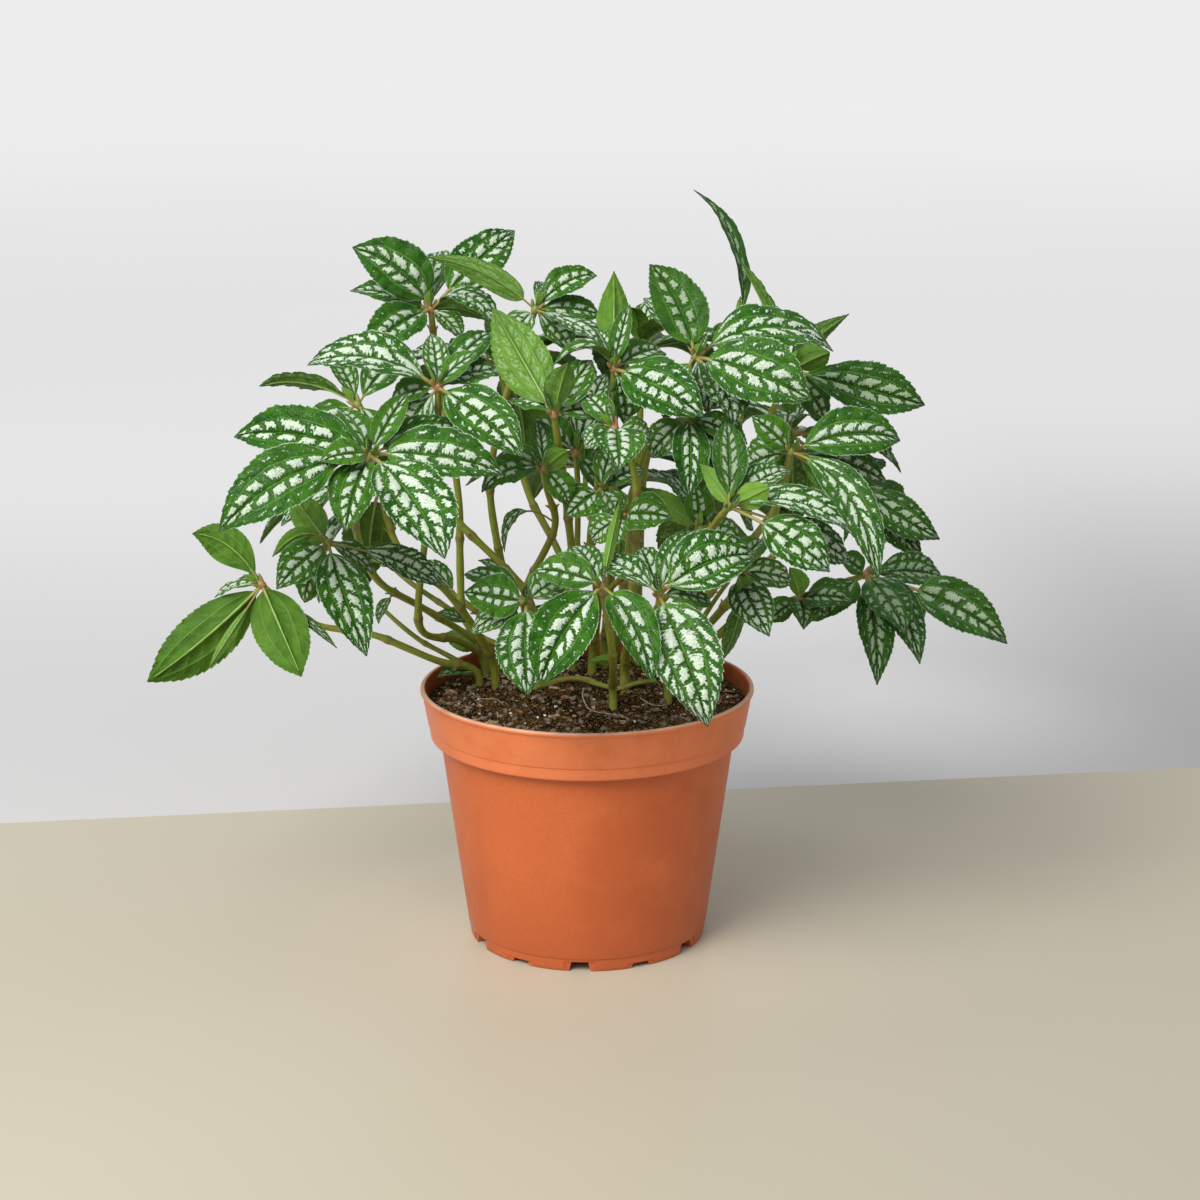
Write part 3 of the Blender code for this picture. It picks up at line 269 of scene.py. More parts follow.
# Each stem: where it leaves the soil on the sheet, then the sheet points it passes, then its shoot. A branch
# leaves the stem at a share of its length, passes its own points and ends at its own shoot.
STEMS = {
    "01": ((496, 666), [(418, 605), (377, 580), (356, 530), (362, 490)], "01", []),
    "02": ((490, 664), [(452, 638), (421, 632), (421, 573), (436, 460)], "02", []),
    "03": ((510, 664), [(464, 620), (459, 500), (440, 390)], "03", []),
    "04": ((524, 664), [(508, 590), (490, 492), (505, 400)], "04", []),
    "05": ((572, 668), [(576, 600), (566, 500)], "05", [(0.5, [(578, 500)], "19")]),
    "06": ((604, 664), [(612, 560), (614, 450)], "06", [(0.6, [(650, 440)], "22")]),
    "07": ((636, 660), [(640, 560), (645, 465), (668, 415)], "07", []),
    "08": ((656, 658), [(700, 560), (755, 450)], "08", [(0.72, [(745, 380)], "28")]),
    "09": ((678, 668), [(720, 612), (765, 540)], "09", [(0.66, [(820, 520)], "10")]),
    "11": ((692, 684), [(724, 630), (775, 606), (825, 590)], "11", [(0.62, [(780, 604)], "27")]),
    "12": ((664, 676), [(690, 610), (706, 540)], "12", [(0.5, [(712, 590)], "25")]),
    "13": ((668, 700), [(664, 652)], "13", []),
    "14": ((613, 708), [(612, 650)], "14", []),
    "15": ((536, 684), [(534, 645)], "15", []),
    "16": ((496, 684), [(472, 624), (430, 576), (380, 553)], "16", []),
    "17": ((480, 682), [(440, 662), (372, 634), (313, 624)], "17", []),
    "18": ((532, 672), [(524, 596), (540, 560), (556, 524), (548, 494)], "18", []),
    "20": ((592, 672), [(598, 600), (590, 540)], "20", [(0.6, [(640, 555)], "23")]),
    "21": ((624, 690), [(632, 600), (636, 480)], "21", [(0.45, [(680, 580)], "24")]),
    "26": ((542, 672), [(526, 592), (464, 528), (400, 455)], "26", []),
    "29": ((616, 656), [(630, 540), (640, 420)], "29", [(0.5, [(590, 520)], "33")]),
    "30": ((572, 660), [(562, 560), (530, 498), (512, 430)], "30", []),
    "31": ((666, 663), [(720, 580), (780, 500)], "31", [(0.4, [(690, 610)], "34")]),
    "32": ((524, 652), [(460, 600), (400, 550)], "32", []),
}

# Side stems that end bare: the share of the stem's length where each starts, then the sheet points it passes.
STUBS = {
    "11": [(0.10, [(706, 646), (742, 612), (768, 590)])],
    "12": [(0.10, [(688, 642), (712, 604), (728, 582)])],
    "16": [(0.45, [(412, 584), (384, 562), (352, 556)])],
    "17": [(0.10, [(451, 657), (421, 641), (398, 623), (378, 604)])],
}

# Small leaves that grow straight from a stem: the share of the stem's length, then the leaf.
STEM_LEAVES = {
    "01": [(0.16, leaf(443, 634, -4, 24, UNDER, pet=0.14, arch=0.03)), (0.42, leaf(378, 624, -4, 12, 30, pet=0.2))],
    "14": [(0.45, leaf(586, 663, -8, 12, UNDER, pet=0.2, bow=(12, -6), fold=30))],
    "16": [(0.42, leaf(438, 612, -3, 13, 20, pet=0.15))],
    "17": [(0.12, leaf(437, 677, -6, 15, 40, pet=0.12)), (0.86, leaf(337, 648, -5, 10, 5, pet=0.12))],
    "18": [(0.66, leaf(502, 552, -3, 13, 50, pet=0.4, bow=(-6, -20)))],
    "26": [(0.40, leaf(478, 560, 4, 14, 30, pet=0.2))],
    "30": [(0.30, leaf(505, 640, 6, 20, 20, pet=0.2))],
    "32": [(0.45, leaf(420, 560, 8, 22, 20, pet=0.2))],
}
BRANCH_LOW_R = 1.5 * MM


# ---------------------------------------------------------------------------------------------- shapes


def loft(rings, tip=None):
    """Points and faces of a closed solid through rings of equal count, with an end cap at the start and a cap or
    a point at the end."""
    points = [p for ring in rings for p in ring]
    n = len(rings[0])
    faces = [list(range(n))[::-1]]
    for k in range(len(rings) - 1):
        for i in range(n):
            j = (i + 1) % n
            faces.append([k * n + i, k * n + j, (k + 1) * n + j, (k + 1) * n + i])
    last = (len(rings) - 1) * n
    if tip is None:
        faces.append([last + i for i in range(n)])
    else:
        points.append(tip)
        faces += [[last + i, last + (i + 1) % n, len(points) - 1] for i in range(n)]
    return points, faces


def triangles(points, faces):
    """Points and triangles that face out."""
    bm = bmesh.new()
    made = [bm.verts.new(p) for p in points]
    for face in faces:
        bm.faces.new([made[i] for i in face])
    bmesh.ops.triangulate(bm, faces=bm.faces[:])
    bmesh.ops.recalc_face_normals(bm, faces=bm.faces[:])
    bm.verts.index_update()
    out = [v.co.copy() for v in bm.verts], [[v.index for v in f.verts] for f in bm.faces]
    bm.free()
    return out


def half_width(x, form=1.0):
    """The blade's half width, 0 to 1, at x of its length: widest near the middle, drawn out to the tip."""
    x = min(max(x, 0.0), 1.0) ** form
    return (math.sin(math.pi * x**0.92) ** 0.72) * (1 - 0.42 * x**3)


class Leaf:
    """A leaf in space, from its node to its tip, with its frame at any share s of its length."""

    def __init__(self, node, spec, deeper=0.0, leaner=0.0, size=1.0):
        self.start = sheet(*node)
        if "az" in spec:
            az, el = math.radians(spec["az"]), math.radians(spec["el"] + deeper * 0.8)
            along = Vector((math.sin(az) * math.cos(el), math.cos(az) * math.cos(el), math.sin(el)))
            self.end = self.start + along * (spec["long"] * MM * size)
            look = (Vector((0, 0, 1)) + Vector((math.sin(az), math.cos(az), 0)) * 0.5).normalized()
            half, bow, lean = spec["wide"] * MM / 2, Vector(), leaner
        else:
            u0, v0, depth0 = node
            deep = depth0 + (spec["deep"] - TILT_OUT * (spec["v"] - v0)) * size + deeper
            u = u0 + (spec["u"] - u0) * size
            v = v0 + (spec["v"] - v0) * size
            self.end = sheet(u, v, deep)
            look = (EYE - (self.start + self.end) / 2).normalized()
            lean = spec["lean"] + (MORE_LEAN if spec["lean"] < 90 else 0) + leaner
            half = spec["wide"] * UNIT / 2 / max(0.62, abs(math.cos(math.radians(lean - leaner))))
            bow = sheet(u + spec["bow"][0], v + spec["bow"][1], deep) - self.end
        chord = self.end - self.start
        self.length = chord.length
        along = chord.normalized()
        facing = (look - along * look.dot(along)).normalized()
        up = along.cross(facing)
        if up.z < 0 or (abs(up.z) < 1e-6 and up.x < 0):
            up = -up
        lean = math.radians(lean)
        self.top = facing * math.cos(lean) + up * math.sin(lean)
        self.mid = (self.start + self.end) / 2 + self.top * (2 * spec["arch"] * self.length) + 2 * bow
        self.pet = spec["pet"]
        self.wide = half * size
        self.fold = math.radians(spec["fold"])
        self.curl = spec["curl"]
        self.form = spec["form"]

    def frame(self, s):
        at = self.start * (1 - s) ** 2 + self.mid * (2 * s * (1 - s)) + self.end * s**2
        along = ((self.mid - self.start) * (1 - s) + (self.end - self.mid) * s).normalized()
        top = (self.top - along * self.top.dot(along)).normalized()
        return at, along, top, along.cross(top)

    def section(self, s, thick):
        """Margin, upper midrib, margin, lower midrib."""
        at, _, top, side = self.frame(s)
        x = (s - self.pet) / (1 - self.pet)
        half = max(PETIOLE_R, self.wide * half_width(x, self.form)) if x > 0 else PETIOLE_R
        rise = half * (math.sin(self.fold) - self.curl) if half > PETIOLE_R * 1.5 else 0.0
        out = side * (half * math.cos(self.fold)) if half > PETIOLE_R * 1.5 else side * half
        return [at - out + top * rise, at + top * thick / 2, at + out + top * rise, at - top * thick / 2]

    def solid(self, thick=LEAF_THICK, first=0.0):
        stations = [0.7 * MM / self.length, self.pet] + [self.pet + (1 - self.pet) * x for x in (0.18, 0.42, 0.66, 0.86)]
        stations = [s for s in stations if s >= first]
        rings = [self.section(s, thick if s > self.pet else max(thick, 2 * PETIOLE_R)) for s in stations]
        return triangles(*loft(rings, self.end.copy()))


def smooth_path(points, pieces=4):
    """A path through the points, with `pieces` spans between each two."""
    out = []
    ends = [points[0] * 2 - points[1]] + points + [points[-1] * 2 - points[-2]]
    for k in range(1, len(ends) - 2):
        a, b, c, d = ends[k - 1 : k + 3]
        for i in range(pieces):
            t = i / pieces
            out.append(0.5 * (2 * b + (c - a) * t + (2 * a - 5 * b + 4 * c - d) * t**2 + (3 * b - a - 3 * c + d) * t**3))
    out.append(points[-1].copy())
    return out


def tube(path, low, high, sides=STEM_SIDES):
    """A tapering tube along the path."""
    rings = []
    side = None
    for k, at in enumerate(path):
        along = (path[min(k + 1, len(path) - 1)] - path[max(k - 1, 0)]).normalized()
        if side is None:
            side = along.cross(Vector((0, 1, 0)) if abs(along.y) < 0.9 else Vector((1, 0, 0))).normalized()
        side = (side - along * side.dot(along)).normalized()
        other = along.cross(side)
        r = low + (high - low) * k / (len(path) - 1)
        rings.append([at + (side * math.cos(a) + other * math.sin(a)) * r for a in (2 * math.pi * i / sides for i in range(sides))])
    return triangles(*loft(rings))


def bvh(solid):
    return BVHTree.FromPolygons(solid[0], solid[1])


class Placed:
    """What has its place so far, for finding a free one for the next."""

    def __init__(self):
        self.held = []

    def add(self, owner, solid):
        lo = [min(p[i] for p in solid[0]) for i in range(3)]
        hi = [max(p[i] for p in solid[0]) for i in range(3)]
        self.held.append((owner, lo, hi, bvh(solid)))

    def free(self, solid, skip=()):
        lo = [min(p[i] for p in solid[0]) for i in range(3)]
        hi = [max(p[i] for p in solid[0]) for i in range(3)]
        tree = None
        for owner, a, b, other in self.held:
            if owner in skip or any(lo[i] > b[i] or hi[i] < a[i] for i in range(3)):
                continue
            tree = tree or bvh(solid)
            if tree.overlap(other):
                return False
        return True


def pot_profile():
    """Radius and height down the outside, under the foot and back up the inside, in millimetres."""
    band = (BAND_TOP_R - BAND_LOW_R) / (RIM_TOP - LIP_TALL - BAND_LOW_Z)
    groove = BAND_LOW_Z + GROOVE_UP
    return [
        (RIM_R - 0.9, RIM_TOP),
        (RIM_R, RIM_TOP - 0.8),
        (RIM_R, RIM_TOP - LIP_TALL + 0.4),
        (BAND_TOP_R, RIM_TOP - LIP_TALL),
        (BAND_LOW_R + band * (groove + 0.1 - BAND_LOW_Z), groove + 0.1),
        (BAND_LOW_R + band * (groove - BAND_LOW_Z) - 0.45, groove),
        (BAND_LOW_R, BAND_LOW_Z),
        (BAND_LOW_R - 0.5, BODY_TOP_Z),
        (BODY_TOP_R, BODY_TOP_Z),
        (BODY_LOW_R, FOOT_TALL),
        (FOOT_R, FOOT_TALL - 0.5),
        (FOOT_R - 0.4, 0.0),
        (FOOT_R - 0.4 - FOOT_RING, 0.0),
        (FOOT_R - 0.8 - FOOT_RING, BASE_UNDER),
        (0.0, BASE_UNDER),
        (0.0, BASE_UNDER + BASE_THICK),
        (BODY_LOW_R - WALL, BASE_UNDER + BASE_THICK),
        (BODY_TOP_R - WALL, BODY_TOP_Z + 1.2),
        (BAND_LOW_R - WALL, BAND_LOW_Z + 2.2),
        (BAND_TOP_R - WALL, RIM_TOP - LIP_TALL),
        (RIM_R - 2.4, RIM_TOP),
    ]


def inner_radius(z):
    """The pot's inner radius at height z, in millimetres."""
    inside = [
        (BODY_LOW_R - WALL, BASE_UNDER + BASE_THICK),
        (BODY_TOP_R - WALL, BODY_TOP_Z + 1.2),
        (BAND_LOW_R - WALL, BAND_LOW_Z + 2.2),
        (BAND_TOP_R - WALL, RIM_TOP - LIP_TALL),
    ]
    for (r0, z0), (r1, z1) in zip(inside, inside[1:]):
        if z <= z1:
            return r0 + (r1 - r0) * (z - z0) / (z1 - z0)
    return inside[-1][0]


def soil_height(x, y):
    """Height of the soil's top, in millimetres: a low mound with clods."""
    r = math.hypot(x, y) / 72.0
    lump = 0.8 * math.sin(x * 0.21 + 1.3) * math.cos(y * 0.17 - 0.6) + 0.5 * math.sin(x * 0.47 - y * 0.39)
    return SOIL_EDGE_Z + (SOIL_MID_Z - SOIL_EDGE_Z) * (1 - r * r) + lump * max(0.0, 1 - r**4)


def soil_solid():
    """The soil inside the pot, as rings from the middle of its top out and down to its base."""
    steps = 32
    across = (9.0, 22.0, 36.0, 50.0, 62.0)
    wall = inner_radius(SOIL_EDGE_Z) - SOIL_GAP
    lows = [BAND_LOW_Z + 2.2, BODY_TOP_Z + 1.2, BASE_UNDER + BASE_THICK + SOIL_GAP]
    rings = []
    for r in (*across, wall):
        ring = []
        for i in range(steps):
            a = 2 * math.pi * i / steps
            x, y = r * math.cos(a), r * math.sin(a)
            ring.append(Vector((x, y, soil_height(x, y) if r < wall else SOIL_EDGE_Z)) * MM)
        rings.append(ring)
    for z in lows:
        r = inner_radius(z) - SOIL_GAP
        rings.append([Vector((r * math.cos(2 * math.pi * i / steps), r * math.sin(2 * math.pi * i / steps), z)) * MM for i in range(steps)])
    return triangles(*loft(rings))


# ---------------------------------------------------------------------------------------------- layout in space


def pot_guard():
    """The pot's outside and rim as a plain solid, to keep leaves and stems off it."""
    rings = []
    for r, z in [(RIM_R - 3.2, RIM_TOP - 12), (RIM_R - 3.2, RIM_TOP + 0.7), (RIM_R + 0.7, RIM_TOP + 0.7), (RIM_R + 0.7, RIM_TOP - 4), (BODY_TOP_R + 1, BODY_TOP_Z), (BODY_LOW_R, 0.0)]:
        rings.append([Vector((r * math.cos(2 * math.pi * i / 32), r * math.sin(2 * math.pi * i / 32), z)) * MM for i in range(32)])
    return triangles(*loft(rings))


def lay_out_stems(placed):
    """A path for each stem and branch, moved in depth where it would cross another."""
    out = {}
    for name, (ground, middle, shoot, branches) in STEMS.items():
        node = SHOOTS[shoot][0]
        foot = sheet_on_soil(*ground)
        tries = sorted(((d, g, t) for d in range(-40, 41, 4) for g in (0, -5, 5, -9, 9) for t in (0, -6, 6)), key=lambda m: (abs(m[0]) + 2 * abs(m[1]) + abs(m[2]), m))
        for bump, ground_x, ground_y in tries:
            at = foot + Vector((ground_x, ground_y, 0)) * MM
            at = at * min(1.0, ROOT_R * MM / math.hypot(at.x, at.y))
            at.z = (soil_height(at.x / MM, at.y / MM) + 2.1) * MM
            depth0 = at.y / MM
            points = [at, at + Vector((0, 0, 0.006)) + (sheet(*middle[0], depth0) - at) * 0.12]
            for k, (u, v) in enumerate(middle):
                f = (k + 1) / (len(middle) + 1)
                points.append(sheet(u, v, depth0 + (node[2] - depth0) * f + bump * math.sin(math.pi * f)))
            points.append(sheet(*node))
            path = smooth_path(points, 2)
            path[-1] = path[-1] - (path[-1] - path[-2]).normalized() * (KNOB_R + STEM_GAP)
            low = 2.4 * MM if len(branches) else 2.1 * MM
            if placed.free(tube(path, low + 0.4 * MM, 1.8 * MM)):
                break
        else:
            print("stem", name, "still crosses another")
        parts = [(path, low, 1.5 * MM)]
        placed.add("stem_" + name, tube(path, low + 0.1 * MM, 1.6 * MM))
        for share, middle_b, shoot_b in branches:
            node_b = SHOOTS[shoot_b][0]
            k = min(int(share * (len(path) - 1)), len(path) - 2)
            start = path[k]
            for bump in sorted(range(-40, 41, 4), key=lambda m: (abs(m), m)):
                points = [start]
                for i, (u, v) in enumerate(middle_b):
                    f = (i + 1) / (len(middle_b) + 1)
                    points.append(sheet(u, v, start.y / MM + (node_b[2] - start.y / MM) * f + bump))
                points.append(sheet(*node_b))
                way = smooth_path(points, 3)
                way[-1] = way[-1] - (way[-1] - way[-2]).normalized() * (KNOB_R + STEM_GAP)
                if placed.free(tube(way, BRANCH_LOW_R + 0.4 * MM, 1.6 * MM), skip=("stem_" + name,)):
                    break
            else:
                print("branch of stem", name, "still crosses another")
            parts.append((way, BRANCH_LOW_R, 1.3 * MM))
            placed.add("stem_" + name, tube(way, BRANCH_LOW_R + 0.1 * MM, 1.4 * MM))
        for share, middle_b in STUBS.get(name, []):
            start = path[min(int(share * (len(path) - 1)), len(path) - 2)]
            for bump in sorted(range(-40, 41, 4), key=lambda m: (abs(m), m)):
                way = smooth_path([start] + [sheet(u, v, start.y / MM + bump * (i + 1) / len(middle_b)) for i, (u, v) in enumerate(middle_b)], 3)
                if placed.free(tube(way, BRANCH_LOW_R + 0.4 * MM, 1.4 * MM), skip=("stem_" + name,)):
                    parts.append((way, BRANCH_LOW_R, 1.1 * MM))
                    placed.add("stem_" + name, tube(way, BRANCH_LOW_R + 0.1 * MM, 1.2 * MM))
                    break
            else:
                print("stem", name, "has no room for a side stem")
        out[name] = parts
    return out


def lay_out_stem_leaves(placed, paths):
    """The small leaves of the stems, each leaned, moved or made smaller until it is clear of the rest."""
    out = {name: [] for name in paths}
    for name, specs in STEM_LEAVES.items():
        path = paths[name][0][0]
        for share, spec in specs:
            node = on_sheet(path[round(share * (len(path) - 1))])
            for deeper, leaner, size in sorted(((d, a, s) for d in (0, -4, 4, -8, 8, -13, 13) for a in (0, -20, 20, -40, 40) for s in (1.0, 0.85, 0.7)), key=lambda m: (abs(m[0]) + abs(m[1]) / 3 + (1 - m[2]) * 40, m)):
                made = Leaf(node, spec, deeper, leaner, size)
                if placed.free(made.solid(LEAF_THICK + 2 * LEAF_CLEAR), skip=("stem_" + name,)):
                    out[name].append(made)
                    placed.add("stem_" + name, made.solid())
                    break
            else:
                print("stem", name, "has no room for a small leaf")
    return out


def knob(at, r=KNOB_R):
    rings = []
    for z in (-0.72, 0.0, 0.72):
        q = math.sqrt(1 - z * z)
        rings.append([at + Vector((q * math.cos(a), q * math.sin(a), z)) * r for a in (2 * math.pi * i / 6 for i in range(6))])
    return triangles(*loft(rings))


def lay_out_leaves(placed):
    """The leaves of each shoot, the large near ones first; one that would touch another shoot is moved in depth,
    then leaned, then made smaller, whichever is the least change."""
    for name, (node, _) in SHOOTS.items():
        placed.add("leaves_" + name, knob(sheet(*node), KNOB_R + 0.4 * MM))
    order = []
    for name, (node, specs) in SHOOTS.items():
        for k, spec in enumerate(specs):
            size = 0.3 * spec["long"] * spec["wide"] if "az" in spec else math.hypot(spec["u"] - node[0], spec["v"] - node[1]) * spec["wide"]
            order.append((-size * (1 - node[2] / 250), name, k))
    order.sort()
    moves = [(d, a, s) for d in (0, -5, 5, -10, 10, -16, 16, -23, 23, -30, 30, -38, 38) for a in (0, -14, 14, -28, 28, -42, 42) for s in (1.0, 0.93, 0.86, 0.78, 0.7)]
    moves.sort(key=lambda m: (abs(m[0]) / 10 + abs(m[1]) / 16 + (1 - m[2]) * 11, m))
    out = {name: {} for name in SHOOTS}
    blades = Placed()
    left = []
    for _, name, k in order:
        node, specs = SHOOTS[name]
        for deeper, leaner, size in moves:
            made = Leaf(node, specs[k], deeper, leaner, size)
            if not placed.free(made.solid(LEAF_THICK + 2 * LEAF_CLEAR), skip=("leaves_" + name,)):
                continue
            blade = made.solid(LEAF_THICK + LEAF_CLEAR, first=made.pet + 0.1)
            if blades.free(blade, skip=tuple(n for n in SHOOTS if n != name)):
                break
        else:
            left.append((name, k))
            continue
        placed.add("leaves_" + name, made.solid())
        blades.add(name, blade)
        out[name][k] = made
    print("leaves placed", sum(len(v) for v in out.values()), "left out", left)
    return out


# ------------------------------------------------------------------------------------------ helpers

POT_LO, POT_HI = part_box("pot")
SHIFT = Vector(((POT_LO[0] + POT_HI[0]) / 2, (POT_LO[1] + POT_HI[1]) / 2, 0))


def link(obj):
    bpy.context.scene.collection.objects.link(obj)
    return obj


def build(name, points, faces, materials, slots=None, uvs=None, sharp=None):
    """A mesh object from points, faces, a material index a face, UVs as {name: (n, 2) a point} or a corner where
    the name starts with *, and an angle in degrees past which an edge is sharp."""
    mesh = bpy.data.meshes.new(name)
    points = np.asarray(points, np.float64) + np.array(SHIFT)
    mesh.from_pydata(points.tolist(), [], [list(map(int, f)) for f in faces])
    if slots is not None:
        mesh.polygons.foreach_set("material_index", np.asarray(slots, np.int32))
    mesh.polygons.foreach_set("use_smooth", np.ones(len(mesh.polygons), bool))
    corner = np.empty(len(mesh.loops), np.int32)
    mesh.loops.foreach_get("vertex_index", corner)
    for key, values in (uvs or {}).items():
        values = np.asarray(values, np.float32)
        layer = mesh.uv_layers.new(name=key.lstrip("*"))
        layer.data.foreach_set("uv", (values if key[0] == "*" else values[corner]).ravel())
    for material in materials:
        mesh.materials.append(material)
    mesh.update()
    if sharp is not None:
        mesh.set_sharp_from_angle(angle=math.radians(sharp))
    return link(bpy.data.objects.new(name, mesh))


class Nodes:
    """Short ways to make shader nodes."""

    def __init__(self, name):
        self.material = bpy.data.materials.new(name)
        self.material.use_nodes = True
        self.tree = self.material.node_tree
        self.shader = self.tree.nodes["Principled BSDF"]

    def put(self, socket, value):
        if isinstance(value, bpy.types.NodeSocket):
            self.tree.links.new(value, socket)
        elif isinstance(value, tuple) and len(value) == 3 and socket.type == "RGBA":
            socket.default_value = (*value, 1)
        else:
            socket.default_value = value

    def math(self, kind, a, b=None, c=None):
        node = self.tree.nodes.new("ShaderNodeMath")
        node.operation = kind
        for socket, value in zip(node.inputs, (a, b, c)):
            if value is not None:
                self.put(socket, value)
        return node.outputs[0]

    def add(self, a, b):
        return self.math("ADD", a, b)

    def sub(self, a, b):
        return self.math("SUBTRACT", a, b)

    def mul(self, a, b):
        return self.math("MULTIPLY", a, b)

    def low(self, a, b):
        return self.math("MINIMUM", a, b)

    def high(self, a, b):
        return self.math("MAXIMUM", a, b)

    def line(self, value, lo, hi, out_lo=0.0, out_hi=1.0, kind="LINEAR"):
        node = self.tree.nodes.new("ShaderNodeMapRange")
        node.interpolation_type = kind
        for i, v in enumerate((value, lo, hi, out_lo, out_hi)):
            self.put(node.inputs[i], v)
        return node.outputs[0]

    def ramp(self, value, lo, hi, out_lo=0.0, out_hi=1.0):
        """Like line, eased at both ends."""
        if hi < lo:
            lo, hi, out_lo, out_hi = hi, lo, out_hi, out_lo
        return self.line(value, lo, hi, out_lo, out_hi, "SMOOTHSTEP")

    def mix(self, factor, a, b):
        node = self.tree.nodes.new("ShaderNodeMix")
        node.data_type = "RGBA"
        self.put(node.inputs["Factor"], factor)
        self.put(node.inputs[6], a)
        self.put(node.inputs[7], b)
        return node.outputs[2]

    def noise(self, vector, scale, detail=3.0, rough=0.55, distortion=0.0):
        node = self.tree.nodes.new("ShaderNodeTexNoise")
        self.put(node.inputs["Vector"], vector)
        node.inputs["Scale"].default_value = scale
        node.inputs["Detail"].default_value = detail
        node.inputs["Roughness"].default_value = rough
        node.inputs["Distortion"].default_value = distortion
        return node.outputs["Fac"]

    def cells(self, vector, scale, feature="F1"):
        node = self.tree.nodes.new("ShaderNodeTexVoronoi")
        node.feature = feature
        self.put(node.inputs["Vector"], vector)
        node.inputs["Scale"].default_value = scale
        return node.outputs

    def uv(self, name):
        node = self.tree.nodes.new("ShaderNodeUVMap")
        node.uv_map = name
        return self.split(node.outputs[0])

    def place(self):
        return self.tree.nodes.new("ShaderNodeTexCoord").outputs["Object"]

    def split(self, vector):
        node = self.tree.nodes.new("ShaderNodeSeparateXYZ")
        self.put(node.inputs[0], vector)
        return node.outputs

    def join(self, x, y, z):
        node = self.tree.nodes.new("ShaderNodeCombineXYZ")
        for socket, value in zip(node.inputs, (x, y, z)):
            self.put(socket, value)
        return node.outputs[0]

    def bump(self, height, distance, strength=1.0, under=None):
        node = self.tree.nodes.new("ShaderNodeBump")
        node.inputs["Distance"].default_value = distance
        node.inputs["Strength"].default_value = strength
        self.put(node.inputs["Height"], height)
        if under is not None:
            self.put(node.inputs["Normal"], under)
        return node.outputs[0]

    def set(self, **values):
        for key, value in values.items():
            self.put(self.shader.inputs[key.replace("_", " ")], value)


# ------------------------------------------------------------------------------------------ leaf materials
# A leaf's UV maps: "leaf" along and across the blade (0 to 1), "vein" the cross-vein count (whole at a vein) and
# the distance from the midrib (0 to 1 at the margin), "vary" how young and how silvery the leaf is, "mood" how
# dull and dark it is, partly a duller leaf and partly painted shade on the shaded side, and its own seed.

LATERAL = 0.50


def leaf_basics(n):
    x, t, _ = n.uv("leaf")
    q, a, _ = n.uv("vein")
    young, silvery, _ = n.uv("vary")
    dull_and_shaded, seed, _ = n.uv("mood")
    seed = n.mul(seed, 71.0)
    flat = n.join(n.mul(x, 6.0), n.mul(t, 2.9), seed)
    return x, t, q, a, young, silvery, dull_and_shaded, seed, flat


def between(n, q):
    """0 at a cross vein, 1 midway between two."""
    return n.sub(1.0, n.math("ABSOLUTE", n.sub(n.mul(n.math("FRACT", q), 2.0), 1.0)))


